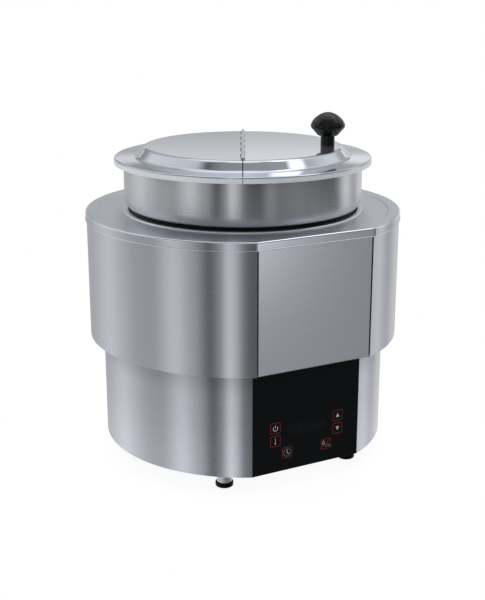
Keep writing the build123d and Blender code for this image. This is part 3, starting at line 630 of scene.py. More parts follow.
def moulded(name, colour, roughness, grains, relief=0.15, gloss=0.5):
    """Moulded plastic, rubber or print with fine grain and soft patches."""
    material, tree, shader = new_material(name)
    shader.inputs["Specular IOR Level"].default_value = gloss
    grain = place_group(tree, moulded_grain(), grains_per_metre=grains)
    patches = place_group(tree, soft_patches(), patches_per_metre=30)
    tree.links.new(vary_colour(tree, patches, colour, MOULDED_TINT), shader.inputs["Base Color"])
    dullness = vary_value(tree, patches, roughness, MOULDED_SPREAD)
    tree.links.new(dullness, shader.inputs["Roughness"])
    roughen(tree, shader, grain, relief, GRAIN_DEPTH)
    return material


# Record's finish slot of each CAD node
SLOT_OF_NODE = {name: node.data.materials[0].name for name, node in frame["nodes"].items()}


def base_tint(material):
    """A material's tree, its colour socket and the tint that feeds it."""
    tree = material.node_tree
    colour = tree.nodes["Principled BSDF"].inputs["Base Color"]
    return tree, colour, colour.links[0].from_socket


def paint_fold_shade(material, side, bottom, top):
    """Paint shade into the colour along a front panel's folded sides and foot, below its top."""
    tree, colour, tint = base_tint(material)
    place = object_place(tree)
    reach = calculate(tree, "ABSOLUTE", place["X"])
    sides = remap(tree, reach, 0, 1, *(side - inset for inset in SIDE_FOLD_SHADE))
    foot = remap(tree, place["Z"], 1, 0, *(bottom + rise for rise in FOOT_FOLD_SHADE))
    below = remap(tree, place["Z"], 1, 0, top - FOLD_SHADE_END, top)
    fold_shade_mask = calculate(tree, "MULTIPLY", calculate(tree, "MAXIMUM", sides, foot), below)
    fold_shade_colour = scale_vector(tree, tint, FOLD_SHADE)
    tree.links.new(blend_colours(tree, fold_shade_mask, tint, fold_shade_colour), colour)


def paint_shell_light_and_shade(material, steel):
    """Paint shade into the lower shell's colour under the shoulder, and paint light from the floor into it
    towards its foot.
    """
    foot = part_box("lower_shell")[0][2]
    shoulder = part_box("upper_shell")[0][2]
    shade_end = shoulder - steel.shade_depth
    tree, colour, tint = base_tint(material)
    height = object_place(tree)["Z"]
    shade = remap(tree, height, 1, steel.shoulder_shade, shade_end, shoulder)
    light = remap(tree, height, steel.floor_light, 1, foot, shade_end)
    lit = scale_vector(tree, tint, calculate(tree, "MULTIPLY", shade, light))
    below = calculate(tree, "LESS_THAN", height, shoulder)
    tree.links.new(blend_colours(tree, below, tint, lit), colour)


def dress(material, *nodes):
    """Give CAD nodes a material in place of the one they came with."""
    for name in nodes:
        mesh = frame["nodes"][name].data
        mesh.materials.clear()
        mesh.materials.append(material)


def dress_slot(material, slot):
    """Give a material to every CAD node of one finish slot."""
    nodes = [name for name, own_slot in SLOT_OF_NODE.items() if own_slot == slot]
    if not nodes:
        raise ValueError(f"no node has the slot {slot}")
    dress(material, *nodes)


def drum_steel(steel):
    """Steel of the drum shells, which the deck's round lip shares."""
    name = "brushed_drum_steel"
    if name in bpy.data.materials:
        return bpy.data.materials[name]
    colour = tuple(steel.drum_colour)
    material = brushed_steel(name, colour, steel.drum_roughness, round_brushing(), lines=1600)
    smear_upright(material)
    # Painted shade under the shoulder and painted floor light on the lower shell
    paint_shell_light_and_shade(material, steel)
    return material


def panel_steel(steel):
    """Steel of the upper front panel, which the deck's front lip shares."""
    name = "brushed_panel_steel"
    if name in bpy.data.materials:
        return bpy.data.materials[name]
    # Panel steel painted lighter than the drum's, as painted light on the panel and the deck's front lip
    colour = tuple(steel.panel_colour)
    material = brushed_steel(
        name, colour, steel.panel_roughness, straight_brushing(), lines=1400, contrast=0.03
    )
    low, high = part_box("upper_front_panel")
    # Painted shade along the panel's folded sides and foot
    paint_fold_shade(material, high[0], low[2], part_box("top_deck")[0][2])
    return material


def bent_sheet(corners, bends, sheet):
    """Section of a bent sheet: its right and left sides along a middle line with rounded corners."""
    middle = [Vector(corner) for corner in corners]
    ways = [(end - start).normalized() for start, end in zip(middle, middle[1:])]
    stations = [(middle[0], ways[0])]
    for corner, before, after, bend in zip(middle[1:], ways, ways[1:], bends):
        turn = atan2(before.cross(after), before.dot(after))
        start = corner - before * bend * tan(abs(turn) / 2)
        centre = start + before.orthogonal() * copysign(bend, turn)
        facets = ceil(abs(turn) / radians(BEND_FACET))
        for step in range(facets + 1):
            swing = Matrix.Rotation(turn * step / facets, 2)
            stations.append((centre + swing @ (start - centre), swing @ before))
    stations.append((middle[-1], ways[-1]))
    right = [place - way.orthogonal() * sheet / 2 for place, way in stations]
    left = [place + way.orthogonal() * sheet / 2 for place, way in stations]
    return right, left


def place_mesh(context, name, shape, *materials):
    """New object from a finished shape, with its materials."""
    mesh = bpy.data.meshes.new(name)
    shape.to_mesh(mesh)
    shape.free()
    for material in materials:
        mesh.materials.append(material)
    made = bpy.data.objects.new(name, mesh)
    context.scene.collection.objects.link(made)
    return made


class PressedPiece:
    """Mesh of one pressed sheet, gathered from rows of points."""

    def __init__(self):
        self.shape = bmesh.new()

    def row(self, points):
        return [self.shape.verts.new(point) for point in points]

    def skin(self, first, second):
        """Faces between two open rows with like points."""
        return [
            self.shape.faces.new((first[i], first[i + 1], second[i + 1], second[i]))
            for i in range(len(first) - 1)
        ]

    def finish(self, context, name, body, node, materials):
        """Make the piece, smooth but for its sharp edges, in place of a CAD node."""
        bmesh.ops.recalc_face_normals(self.shape, faces=self.shape.faces)
        piece = place_mesh(context, name, self.shape, *materials)
        piece.data.shade_smooth()
        piece.data.set_sharp_from_angle(angle=radians(SHARP_ANGLE))
        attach(piece, body)
        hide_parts(node)


class FOODWELL_OT_drum(bpy.types.Operator):
    """Brushed steel for the shells, ring, base and front panel"""

    bl_idname = "foodwell.drum"
    bl_label = "Finish the Drum"

    def execute(self, context):
        steel = context.scene.food_well_steel
        dress_slot(drum_steel(steel), "housing_steel")
        dress(panel_steel(steel), "upper_front_panel")
        return {"FINISHED"}


class FOODWELL_OT_deck(bpy.types.Operator):
    """Satin steel for the deck and well pan"""

    bl_idname = "foodwell.deck"
    bl_label = "Finish the Deck"

    def execute(self, context):
        steel = context.scene.food_well_steel
        colour = tuple(steel.deck_colour)
        turn = steel.deck_turn
        deck = brushed_steel(
            "satin_deck_steel", colour, steel.deck_roughness, straight_brushing(), lines=900, turn=turn
        )
        smear_level(deck, turn)
        edge = polished_steel("polished_deck_edge", colour, steel.deck_edge_roughness)
        ring_colour = tuple(steel.ring_colour)
        ring_steel = brushed_steel(
            "satin_ring_steel", ring_colour, steel.ring_roughness, round_brushing(), lines=1200
        )
        dress_slot(ring_steel, "deck_steel")
        materials = (deck, panel_steel(steel), drum_steel(steel), edge)
        self.press_deck(context, context.scene.food_well_pressing, materials)
        return {"FINISHED"}

    def outline(self, radius, flat, height, corner=None):
        """Points round the drum's outline, from its right front corner by way of the back."""
        if corner is None:
            corner = asin(flat / radius)
        points = []
        for i in range(ARC_STEPS + 1):
            turn = (pi + 2 * corner) * i / ARC_STEPS - corner
            points.append((radius * cos(turn), radius * sin(turn), height))
        for i in range(1, FRONT_STEPS):
            x = radius * cos(corner) * (2 * i / FRONT_STEPS - 1)
            y = -flat if flat < radius else -sqrt(radius**2 - x**2)
            points.append((x, y, height))
        return points

    def press_deck(self, context, pressing, materials):
        """Flanged deck with a bend round its edge, a shallow step and the well's hole."""
        low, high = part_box("top_deck")
        radius, flat, bottom, top = high[0], -low[1], low[2], high[2]
        sheet = pressing.sheet
        floor = top - pressing.deck_recess
        step_radius = radius - pressing.deck_rim
        step_flat = flat - pressing.deck_bend - pressing.deck_land
        step_corner = asin(step_flat / step_radius)
        rows = [self.outline(radius - sheet, flat - sheet, bottom)]
        for i in range(BEND_STEPS + 1):
            turn = pi * (i / BEND_STEPS - 0.5)
            reach = pressing.deck_hem * cos(turn)
            rise = pressing.deck_hem * (1 + sin(turn))
            rows.append(self.outline(radius + reach, flat + reach, bottom + rise))
        wall = len(rows) - 1
        for i in range(BEND_STEPS + 1):
            turn = pi / 2 * i / BEND_STEPS
            inset = pressing.deck_bend * (1 - cos(turn))
            fall = pressing.deck_bend * (1 - sin(turn))
            rows.append(self.outline(radius - inset, flat - inset, top - fall))
        edge = range(wall + 1, len(rows) - 1)
        for i in range(BEND_STEPS + 1):
            share = i / BEND_STEPS
            fall = pressing.deck_recess * (1 - cos(pi * share)) / 2
            rows.append(self.outline(step_radius - share * pressing.deck_step, step_flat, top - fall))
        for height in (floor, floor - sheet):
            rows.append(self.outline(pressing.deck_hole, pressing.deck_hole, height, step_corner))
        for height in (floor - sheet, top - sheet):
            rows.append(self.outline(step_radius, step_flat, height))
        rows.append(self.outline(radius - sheet, flat - sheet, top - sheet))
        piece = PressedPiece()
        rings = [piece.row(points) for points in rows]
        for number, (first, second) in enumerate(zip(rings, rings[1:] + rings[:1])):
            faces = piece.skin(first + first[:1], second + second[:1])
            if number in edge or 0 < number < wall:
                for face in faces:
                    face.material_index = DECK_EDGE
            elif number == wall:
                for place, face in enumerate(faces):
                    face.material_index = DECK_FRONT_LIP if place >= ARC_STEPS else DECK_ROUND_LIP
        piece.finish(context, "deck", "housing", "top_deck", materials)


class FOODWELL_OT_pot(bpy.types.Operator):
    """Round brushed steel for the inset pot"""

    bl_idname = "foodwell.pot"
    bl_label = "Finish the Pot"

    def execute(self, context):
        steel = context.scene.food_well_steel
        colour = tuple(steel.pot_colour)
        pot = brushed_steel(
            "brushed_pot_steel", colour, steel.pot_roughness, round_brushing(), lines=1600
        )
        smear_upright(pot)
        dress_slot(pot, "pot_steel")
        return {"FINISHED"}


class FOODWELL_OT_lid(bpy.types.Operator):
    """Polished steel for the lid and its hinge"""

    bl_idname = "foodwell.lid"
    bl_label = "Finish the Lid"

    def execute(self, context):
        steel = context.scene.food_well_steel
        colour = tuple(steel.lid_colour)
        polished = polished_steel("polished_lid_steel", colour, steel.lid_roughness, steel.lid_haze)
        dress_slot(polished, "lid_steel")
        dress_slot(polished_steel("polished_hinge_steel", colour, steel.hinge_roughness), "hinge_steel")
        # Near-white, partly matt copy of the lid steel on its turned edge, as painted light
        edge_colour = tuple(steel.lid_edge_colour)
        edge = brushed_steel(
            "satin_lid_edge",
            edge_colour,
            steel.lid_edge_roughness,
            round_brushing(),
            lines=1600,
            relief=0.001,
            contrast=0.005,
            haze=steel.lid_edge_haze,
        )
        pressing = context.scene.food_well_pressing
        pitch = 2 * pressing.hinge_half / pressing.knuckles
        flap_knuckles = [pitch * (i + 0.5) - pressing.hinge_half for i in range(1, pressing.knuckles, 2)]
        self.press_half(context, pressing, -1, flap_knuckles, "lid", "lid_fixed_half", (polished, edge))
        self.press_half(context, pressing, 1, [], "lid_flap", "lid_flap_half", (polished, edge))
        return {"FINISHED"}

    def section(self, pressing):
        """Outer and inner side of the cover in section, from its turned edge to the plateau."""
        low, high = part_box("lid_fixed_half")
        sheet = pressing.sheet
        brim_line = low[2] + pressing.lid_lip - sheet / 2
        plateau_line = high[2] - sheet / 2
        edge = pressing.brim_radius - sheet / 2
        corners = (
            (edge, low[2]),
            (edge, brim_line),
            (pressing.dome_radius, brim_line + pressing.brim_rise),
            (pressing.plateau_radius, plateau_line),
            (pressing.hinge_half + pressing.knuckle_gap, plateau_line),
        )
        bends = (pressing.lid_lip_bend, pressing.dome_bend, pressing.dome_bend)
        return bent_sheet(corners, bends, sheet)

    def cut(self, pressing, notches):
        """Corners of the cut along the hinge: distance from the hinge line, and place along it."""
        end = pressing.hinge_half + pressing.knuckle_gap / 2
        half_knuckle = pressing.hinge_half / pressing.knuckles - pressing.knuckle_gap / 2
        bay = pressing.hinge_bay
        deep = bay + pressing.notch_depth
        corners = [(pressing.lid_slit / 2, -end), (bay, -end)]
        for place in notches:
            start, stop = place - half_knuckle, place + half_knuckle
            corners += [(bay, start), (deep, start), (deep, stop), (bay, stop)]
        return corners + [(bay, end), (pressing.lid_slit / 2, end)]

    def press_half(self, context, pressing, side, notches, body, node, materials):
        """Half of the pressed cover on one side of the hinge line."""
        hinge = next(joint for joint in frame["joints"] if joint["name"] == "lid_flip")
        along = -Vector(hinge["axis"])
        across = along.cross(Vector((0, 0, 1))) * side
        lift = Vector((0, 0, 1))

        def half_ring(reach, height):
            open_turn = pi / 2 - asin(pressing.lid_slit / 2 / reach)
            turns = [open_turn * (2 * i / HALF_RING_STEPS - 1) for i in range(HALF_RING_STEPS + 1)]
            return [reach * (across * cos(t) + along * sin(t)) + lift * height for t in turns]

        piece = PressedPiece()
        sides = self.section(pressing)
        outer, inner = ([piece.row(half_ring(*spot)) for spot in side_line] for side_line in sides)
        rows = inner[::-1] + outer
        for first, second in zip(rows, rows[1:]):
            faces = piece.skin(first, second)
            if first is outer[0]:
                for face in faces:
                    face.material_index = LID_EDGE
        edges = []
        for ring in (outer[-1], inner[-1]):
            height = ring[0].co.z
            cut = [across * x + along * y + lift * height for x, y in self.cut(pressing, notches)]
            edges.append(ring[:1] + piece.row(cut) + ring[-1:])
            piece.shape.faces.new(edges[-1] + ring[-2:0:-1])
        piece.skin(*edges)
        for end in (0, -1):
            piece.shape.faces.new([row[end] for row in rows])
        piece.finish(context, node.replace("_half", "_cover"), body, node, materials)


class FOODWELL_OT_trim(bpy.types.Operator):
    """Knob, gasket, feet and cord gland"""

    bl_idname = "foodwell.trim"
    bl_label = "Finish the Trim"

    def execute(self, context):
        trim = context.scene.food_well_trim
        colour = tuple(trim.knob_colour)
        knob = moulded("knob_black", colour, roughness=0.24, grains=2500, relief=0.05, gloss=0.34)
        dress_slot(knob, "knob_plastic")
        colour = tuple(trim.rubber_colour)
        rubber = moulded("black_rubber", colour, roughness=0.32, grains=1800, relief=0.03, gloss=0.10)
        dress_slot(rubber, "gasket_rubber")
        dress_slot(rubber, "foot_rubber")
        colour = tuple(trim.collar_colour)
        collar = brushed_steel(
            "satin_collar_steel", colour, roughness=0.4, brushing=straight_brushing(), lines=900
        )
        dress_slot(collar, "foot_metal")
        nylon = moulded("black_nylon", tuple(trim.gland_colour), roughness=0.45, grains=1500)
        dress_slot(nylon, "gland_plastic")
        return {"FINISHED"}


def arc(centre, radius, start, end, steps):
    """Points of an arc from one angle to another, in degrees."""
    angles = [radians(start + (end - start) * i / steps) for i in range(steps + 1)]
    return [(centre[0] + radius * cos(a), centre[1] + radius * sin(a)) for a in angles]


def circle(centre, radius, steps):
    """Points round a circle."""
    return arc(centre, radius, 0, 360 * (1 - 1 / steps), steps - 1)


def ring(centre, radius, width, start, end, steps=RING_STEPS):
    """Outline of an open round line of some width."""
    outer = arc(centre, radius + width / 2, start, end, steps)
    inner = arc(centre, radius - width / 2, end, start, steps)
    return outer + inner


def bar(start, end, width):
    """Outline of a straight line of some width."""
    first = Vector(start)
    last = Vector(end)
    side = (last - first).normalized().orthogonal() * width / 2
    return [first + side, last + side, last - side, first - side]


def rounded_square(centre, size, corner):
    """Outline of a square with round corners."""
    reach = size / 2 - corner
    points = []
    for turn, (way_x, way_z) in enumerate(((1, 1), (-1, 1), (-1, -1), (1, -1))):
        corner_centre = (centre[0] + way_x * reach, centre[1] + way_z * reach)
        points += arc(corner_centre, corner, 90 * turn, 90 * turn + 90, CORNER_STEPS)
    return points


def drop(centre, radius, height):
    """Outline of a water drop with its point up."""
    return [(centre[0], centre[1] + height)] + arc(centre, radius, start=150, end=390, steps=20)


def arrow(centre, way):
    """Outline of a solid arrow head that points up, or down when the way is -1."""
    x, z = centre
    half_width = 2.2 * MM
    foot = z - way * 1.9 * MM
    tip = z + way * 2.7 * MM
    return [(x - half_width, foot), (x + half_width, foot), (x, tip)]


class PanelPrint:
    """Flat print on the touch panel, gathered as thin raised patches."""

    def __init__(self, name, material, lift):
        self.name = name
        self.material = material
        self.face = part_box("control_overlay")[0][1]
        self.lift = lift
        self.shape = bmesh.new()

    def loop(self, outline, depth):
        return [self.shape.verts.new((x, depth, z)) for x, z in outline]

    def wall(self, back, front):
        for i in range(len(back)):
            self.shape.faces.new((back[i - 1], back[i], front[i], front[i - 1]))

    def patch(self, outline):
        """Fill one closed outline."""
        back = self.loop(outline, self.face)
        front = self.loop(outline, self.face - self.lift)
        self.wall(back, front)
        self.shape.faces.new(back)
        self.shape.faces.new(front)

    def band(self, outer, inner):
        """Fill between two closed outlines with like points."""
        backs = [self.loop(outline, self.face) for outline in (outer, inner)]
        fronts = [self.loop(outline, self.face - self.lift) for outline in (outer, inner)]
        self.wall(backs[0], fronts[0])
        self.wall(backs[1], fronts[1])
        self.wall(backs[0], backs[1])
        self.wall(fronts[0], fronts[1])

    def finish(self, context):
        """Make the piece and let it ride on the housing."""
        bmesh.ops.recalc_face_normals(self.shape, faces=self.shape.faces)
        piece = place_mesh(context, self.name, self.shape, self.material)
        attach(piece, "housing")


class FOODWELL_OT_touch_panel(bpy.types.Operator):
    """Black touch panel with its printed keys, symbols and unlit display"""

    bl_idname = "foodwell.touch_panel"
    bl_label = "Print the Touch Panel"

    def execute(self, context):
        panel = context.scene.food_well_panel
        colour = tuple(panel.overlay_colour)
        overlay = moulded(
            "touch_panel_black", colour, roughness=0.30, grains=3000, relief=0.02, gloss=0.1
        )
        dress_slot(overlay, "overlay_plastic")
        middle = panel.middle_x
        keys = {
            "power": (middle - panel.outer_key_x, panel.upper_key_z),
            "heat": (middle - panel.outer_key_x, panel.middle_key_z),
            "timer": (middle - panel.inner_key_x, panel.lower_key_z),
            "up": (middle + panel.outer_key_x, panel.upper_key_z),
            "down": (middle + panel.outer_key_x, panel.middle_key_z),
            "wet_or_dry": (middle + panel.inner_key_x, panel.lower_key_z),
        }
        self.print_outlines(context, panel, keys)
        self.print_symbols(context, panel, keys)
        self.print_faint_symbols(context, panel, keys)
        self.print_display(context, panel)
        self.print_lamps(context, panel, keys)
        return {"FINISHED"}

    def new_print(self, panel, name, colour):
        material = moulded(
            f"{name}_ink", tuple(colour), roughness=0.45, grains=4000, relief=0.05, gloss=0.2
        )
        return PanelPrint(name, material, panel.print_height)

    def print_outlines(self, context, panel, keys):
        """Red outline of each key, and the slash between wet and dry."""
        ink = self.new_print(panel, "key_outlines", panel.outline_colour)
        inner_size = panel.key_size - 2 * panel.outline_width
        for centre in keys.values():
            outer = rounded_square(centre, panel.key_size, panel.key_corner)
            inner = rounded_square(centre, inner_size, panel.key_corner - panel.outline_width)
            ink.band(outer, inner)
        x, z = keys["wet_or_dry"]
        reach = inner_size / 2 - panel.outline_width
        ink.patch(bar((x - reach, z - reach), (x + reach, z + reach), panel.outline_width))
        ink.finish(context)

    def print_symbols(self, context, panel, keys):
        """Bold symbols: power, thermometer, clock hands, arrows and drop."""
        ink = self.new_print(panel, "key_symbols", panel.symbol_colour)
        self.draw_power(ink, *keys["power"])
        self.draw_thermometer(ink, *keys["heat"])
        self.draw_clock_hands(ink, *keys["timer"])
        ink.patch(arrow(keys["up"], 1))
        ink.patch(arrow(keys["down"], -1))
        self.draw_drop(ink, *keys["wet_or_dry"])
        ink.finish(context)

    def draw_power(self, ink, x, z):
        """Ring that is open at the top, with a stem in its opening."""
        line = 0.75 * MM
        ring_radius = 2.7 * MM
        ring_centre = (x, z - 0.4 * MM)
        stem_foot = (x, z + 0.2 * MM)
        stem_tip = (x, z + 3.4 * MM)
        ink.patch(ring(ring_centre, ring_radius, line, start=135, end=405))
        ink.patch(bar(stem_foot, stem_tip, line))

    def draw_thermometer(self, ink, x, z):
        """Upright tube with a bulb at its foot."""
        tube = 0.55 * MM
        tube_foot = (x, z - 2.0 * MM)
        tube_tip = (x, z + 3.4 * MM)
        bulb_radius = 0.8 * MM
        bulb_centre = (x, z - 2.7 * MM)
        ink.patch(bar(tube_foot, tube_tip, tube))
        ink.patch(arc(bulb_centre, bulb_radius, start=130, end=410, steps=20))

    def draw_clock_hands(self, ink, x, z):
        """Long hand up and short hand to the lower right."""
        hand = 0.7 * MM
        long_foot = (x, z - 0.9 * MM)
        long_tip = (x, z + 3.0 * MM)
        short_foot = (x + 0.5 * MM, z - 0.5 * MM)
        short_tip = (x + 2.3 * MM, z - 1.9 * MM)
        ink.patch(bar(long_foot, long_tip, hand))
        ink.patch(bar(short_foot, short_tip, hand))

    def draw_drop(self, ink, x, z):
        """Outline of a drop in the key's upper left."""
        bead = (x - 2.9 * MM, z + 1.0 * MM)
        outer_radius = 1.7 * MM
        outer_height = 3.6 * MM
        inner_radius = 1.15 * MM
        inner_height = 2.6 * MM
        ink.band(drop(bead, outer_radius, outer_height), drop(bead, inner_radius, inner_height))

    def print_faint_symbols(self, context, panel, keys):
        """Thin symbols: clock face and dish."""
        ink = self.new_print(panel, "key_faint_symbols", panel.faint_colour)
        face = keys["timer"]
        outer_radius = 4.4 * MM
        inner_radius = 3.9 * MM
        ink.band(circle(face, outer_radius, RING_STEPS), circle(face, inner_radius, RING_STEPS))
        self.draw_dish(ink, *keys["wet_or_dry"])
        ink.finish(context)

    def draw_dish(self, ink, x, z):
        """Round cover on a flat dish in the key's lower right."""
        line = 0.5 * MM
        middle = x + 2.3 * MM
        height = z - 3.2 * MM
        cover_radius = 2.4 * MM
        dish_reach = 3.1 * MM
        ink.patch(ring((middle, height), cover_radius, line, start=8, end=172, steps=20))
        ink.patch(bar((middle - dish_reach, height), (middle + dish_reach, height), line))

    def print_display(self, context, panel):
        """Unlit seven-segment digits."""
        ink = self.new_print(panel, "unlit_display", panel.unlit_colour)
        half_width = panel.digit_width / 2
        half_height = panel.digit_height / 2
        gap = panel.segment_gap * panel.segment_width
        for digit in range(panel.digit_count):
            x = panel.middle_x + (digit - (panel.digit_count - 1) / 2) * panel.digit_pitch
            for level in (-1, 0, 1):
                z = panel.display_z + level * half_height
                ink.patch(bar((x - half_width + gap, z), (x + half_width - gap, z), panel.segment_width))
            for side in (-1, 1):
                for level in (-1, 1):
                    foot = (x + side * half_width, panel.display_z + level * gap)
                    tip = (foot[0], panel.display_z + level * (half_height - gap))
                    ink.patch(bar(foot, tip, panel.segment_width))
        ink.finish(context)

    def print_lamps(self, context, panel, keys):
        """Small unlit lamp beside two keys."""
        ink = self.new_print(panel, "unlit_lamps", panel.lamp_colour)
        lamp_gap = 2.0 * MM
        lamp_radius = 0.6 * MM
        lamp_drops = {"power": 3.5 * MM, "wet_or_dry": 4.0 * MM}
        for key, lamp_drop in lamp_drops.items():
            x, z = keys[key]
            place = (x + panel.key_size / 2 + lamp_gap, z - lamp_drop)
            ink.patch(circle(place, lamp_radius, LAMP_STEPS))
        ink.finish(context)


class FOODWELL_OT_inner_parts(bpy.types.Operator):
    """Heater, insulation, controls, leads and fasteners inside the drum"""

    bl_idname = "foodwell.inner_parts"
    bl_label = "Finish the Inner Parts"

    def execute(self, context):
        for slot, name, colour, roughness, lines in (
            ("fastener_steel", "zinc_fasteners", (0.50, 0.51, 0.52), 0.38, 1500),
            ("shield_steel", "galvanised_sheet", (0.45, 0.46, 0.47), 0.45, 300),
            ("spreader_aluminium", "cast_aluminium", (0.62, 0.63, 0.64), 0.5, 400),
            ("element_steel", "heated_steel", (0.30, 0.27, 0.25), 0.5, 800),
        ):
            dress_slot(brushed_steel(name, colour, roughness, straight_brushing(), lines), slot)
        for slot, colour, roughness, grains in (
            ("insulation_wool", (0.62, 0.58, 0.45), 0.9, 700),
            ("board_green", (0.02, 0.10, 0.05), 0.4, 2500),
            ("module_plastic", (0.05, 0.05, 0.055), 0.45, 2000),
            ("lead_sleeve", (0.45, 0.44, 0.42), 0.55, 3000),
        ):
            dress_slot(moulded(f"{slot}_finish", colour, roughness, grains), slot)
        return {"FINISHED"}


class FOODWELL_OT_stage(bpy.types.Operator):
    """Camera, pale floor and soft studio light"""

    bl_idname = "foodwell.stage"
    bl_label = "Set the Stage"

    def execute(self, context):
        studio = context.scene.food_well_studio
        context.scene.view_settings.view_transform = "Standard"
        self.place_camera(context, studio)
        self.make_floor(context, studio)
        self.hang_softbox(context, studio)
        self.stand_card(context, studio)
        self.make_surround(context, studio)
        return {"FINISHED"}

    def bearing(self, studio, right, above):
        """Direction from the object, by degrees to the right of the camera and above the level."""
        around = radians(right) - pi / 2 - studio.camera_heading
        level = cos(radians(above))
        return (level * cos(around), level * sin(around), sin(radians(above)))

    def place_camera(self, context, studio):
        lens = bpy.data.cameras.new("camera")
        camera = bpy.data.objects.new("camera", lens)
        camera.location = studio.camera_place
        camera.rotation_euler = (pi / 2 - studio.camera_pitch, 0, -studio.camera_heading)
        lens.lens = studio.camera_lens
        lens.shift_x = studio.shift_right / IMAGE_HEIGHT
        lens.shift_y = studio.shift_up / IMAGE_HEIGHT
        context.scene.collection.objects.link(camera)
        context.scene.camera = camera

    def make_floor(self, context, studio):
        shape = bmesh.new()
        bmesh.ops.create_circle(
            shape, cap_ends=True, segments=FLOOR_STEPS, radius=studio.floor_radius
        )
        floor = place_mesh(context, "floor", shape, self.floor_paint(studio))
        floor.location.z = cad_box[0][2] - studio.floor_gap

    def floor_paint(self, studio):
        """Pale floor that keeps the object's shadow and stays out of the steel's reflections."""
        material, tree, shader = new_material("pale_floor")
        shader.inputs["Roughness"].default_value = 0.9
        shader.inputs["Specular IOR Level"].default_value = 0
        shader.inputs["Emission Strength"].default_value = 1
        path = add(tree, "ShaderNodeLightPath")
        seen = path.outputs["Is Camera Ray"]
        paint = blend_colours(tree, seen, (studio.floor_bounce,) * 3, (studio.floor_matt,) * 3)
        tree.links.new(paint, shader.inputs["Base Color"])
        shine = blend_colours(tree, seen, (0, 0, 0), (studio.floor_glow,) * 3)
        tree.links.new(shine, shader.inputs["Emission Color"])
        unmirrored = add(tree, "ShaderNodeMixShader")
        tree.links.new(path.outputs["Is Glossy Ray"], unmirrored.inputs["Fac"])
        tree.links.new(shader.outputs[0], unmirrored.inputs[1])
        tree.links.new(add(tree, "ShaderNodeBsdfTransparent").outputs[0], unmirrored.inputs[2])
        tree.links.new(unmirrored.outputs[0], tree.nodes["Material Output"].inputs["Surface"])
        return material

    def round_lamp(self, context, name, size, power):
        """Round area light, still to be placed."""
        light = bpy.data.lights.new(name, "AREA")
        light.shape = "DISK"
        light.size = size
        light.energy = power
        lamp = bpy.data.objects.new(name, light)
        context.scene.collection.objects.link(lamp)
        return lamp

    def hang_softbox(self, context, studio):
        """Round soft lamp over the object, for matt surfaces and the floor's shadow."""
        lamp = self.round_lamp(context, "softbox", studio.softbox_size, studio.softbox_power)
        lamp.location.z = cad_box[1][2] + studio.softbox_rise
        lamp.visible_glossy = False

    def stand_card(self, context, studio):
        """White card that the front panel and the deck's front lip mirror."""
        lit = bpy.data.collections.new("lit_by_card")
        lit.objects.link(frame["nodes"]["upper_front_panel"])
        lit.objects.link(context.scene.objects["deck"])
        low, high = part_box("upper_front_panel")
        panel_middle = (Vector(low) + Vector(high)) / 2
        way = Vector(self.bearing(studio, studio.card_right, studio.card_above))
        card = self.round_lamp(context, "card", studio.card_size, studio.card_power)
        card.location = panel_middle + way
        card.rotation_euler = way.to_track_quat("Z", "Y").to_euler()
        card.visible_camera = False
        card.light_linking.receiver_collection = lit

    def flats_round(self, tree, turns, shades):
        """Shade by the turn round the object, from degrees to the right of the camera."""
        return self.flats(tree, turns, [((turn + 180) / 360, shade) for turn, shade in shades])

    def flats(self, tree, place, shades):
        """Shade at a place from 0 to 1, eased from stop to stop."""
        ramp = add(tree, "ShaderNodeValToRGB")
        ramp.color_ramp.interpolation = "EASE"
        stops = ramp.color_ramp.elements
        while len(stops) < len(shades):
            stops.new(0.5)
        for stop, (position, shade) in zip(stops, shades):
            stop.position = position
            stop.color = (shade, shade, shade, 1)
        tree.links.new(place, ramp.inputs["Fac"])
        return ramp.outputs["Color"]

    def glow(self, tree, way, inner, outer):
        """Share of a soft round light, full within one angle in degrees and gone by another."""
        near = add(tree, "ShaderNodeVectorMath", operation="DOT_PRODUCT")
        tree.links.new(add(tree, "ShaderNodeTexCoord").outputs["Generated"], near.inputs[0])
        near.inputs[1].default_value = way
        return remap(tree, near.outputs["Value"], 0, 1, cos(radians(outer)), cos(radians(inner)))

    def make_surround(self, context, studio):
        world = bpy.data.worlds.new("studio")
        context.scene.world = world
        world.use_nodes = True
        tree = world.node_tree
        way = add(tree, "ShaderNodeSeparateXYZ")
        tree.links.new(add(tree, "ShaderNodeTexCoord").outputs["Generated"], way.inputs[0])
        around = calculate(tree, "ARCTAN2", way.outputs["Y"], way.outputs["X"])
        behind_camera = -pi / 2 - studio.camera_heading
        right = calculate(tree, "SUBTRACT", around, behind_camera - pi)
        turns = calculate(tree, "FRACT", calculate(tree, "DIVIDE", right, 2 * pi))
        rise = way.outputs["Z"]
        low = self.flats_round(tree, turns, STUDIO_WALLS)
        height = calculate(tree, "ADD", rise, LEVEL_PLACE)
        level = self.flats(tree, height, [(z + LEVEL_PLACE, light) for z, light in WALL_LIGHT])
        walls = add(tree, "ShaderNodeVectorMath", operation="MULTIPLY")
        tree.links.new(low, walls.inputs[0])
        tree.links.new(level, walls.inputs[1])
        high = self.flats_round(tree, turns, HIGH_FLATS)
        above_walls = remap(tree, rise, 0, 1, WALLS_END, FLATS_FULL)
        mirrored = blend_colours(tree, above_walls, walls.outputs[0], high)
        for turn, above, inner, outer, shade in STUDIO_LAMPS:
            lamp = self.glow(tree, self.bearing(studio, turn, above), inner, outer)
            mirrored = blend_colours(tree, lamp, mirrored, (shade,) * 3)
        path = add(tree, "ShaderNodeLightPath")
        glossy = calculate(
            tree, "MAXIMUM", path.outputs["Is Glossy Ray"], path.outputs["Is Transmission Ray"]
        )
        lighting = blend_colours(tree, glossy, (studio.room_level,) * 3, mirrored)
        shown = blend_colours(tree, path.outputs["Is Camera Ray"], lighting, (1.0, 1.0, 1.0))
        tree.links.new(shown, tree.nodes["Background"].inputs["Color"])


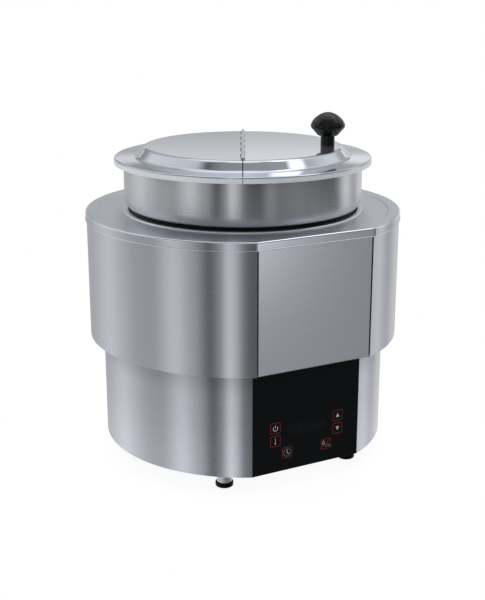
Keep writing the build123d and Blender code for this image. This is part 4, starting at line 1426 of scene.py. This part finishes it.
class FOODWELL_PT_sidebar(bpy.types.Panel):
    """Finishes of the hot food well"""

    bl_label = "Hot Food Well"
    bl_space_type = "VIEW_3D"
    bl_region_type = "UI"
    bl_category = "Food Well"

    def draw(self, context):
        for operator in OPERATORS:
            self.layout.operator(operator.bl_idname)
        for name, group in PROPERTY_GROUPS.items():
            box = self.layout.box()
            for key in group.__annotations__:
                box.prop(getattr(context.scene, name), key)


OPERATORS = (
    FOODWELL_OT_drum,
    FOODWELL_OT_deck,
    FOODWELL_OT_pot,
    FOODWELL_OT_lid,
    FOODWELL_OT_trim,
    FOODWELL_OT_touch_panel,
    FOODWELL_OT_inner_parts,
    FOODWELL_OT_stage,
)
PROPERTY_GROUPS = {
    "food_well_steel": FoodWellSteel,
    "food_well_pressing": FoodWellPressing,
    "food_well_trim": FoodWellTrim,
    "food_well_panel": FoodWellPanel,
    "food_well_studio": FoodWellStudio,
}


def register():
    for name, group in PROPERTY_GROUPS.items():
        bpy.utils.register_class(group)
        setattr(bpy.types.Scene, name, PointerProperty(type=group))
    for operator in OPERATORS:
        bpy.utils.register_class(operator)
    bpy.utils.register_class(FOODWELL_PT_sidebar)


def unregister():
    bpy.utils.unregister_class(FOODWELL_PT_sidebar)
    for operator in reversed(OPERATORS):
        bpy.utils.unregister_class(operator)
    for name, group in PROPERTY_GROUPS.items():
        delattr(bpy.types.Scene, name)
        bpy.utils.unregister_class(group)


def main():
    register()
    for operator in OPERATORS:
        family, name = operator.bl_idname.split(".")
        getattr(getattr(bpy.ops, family), name)()


if __name__ == "__main__":
    main()
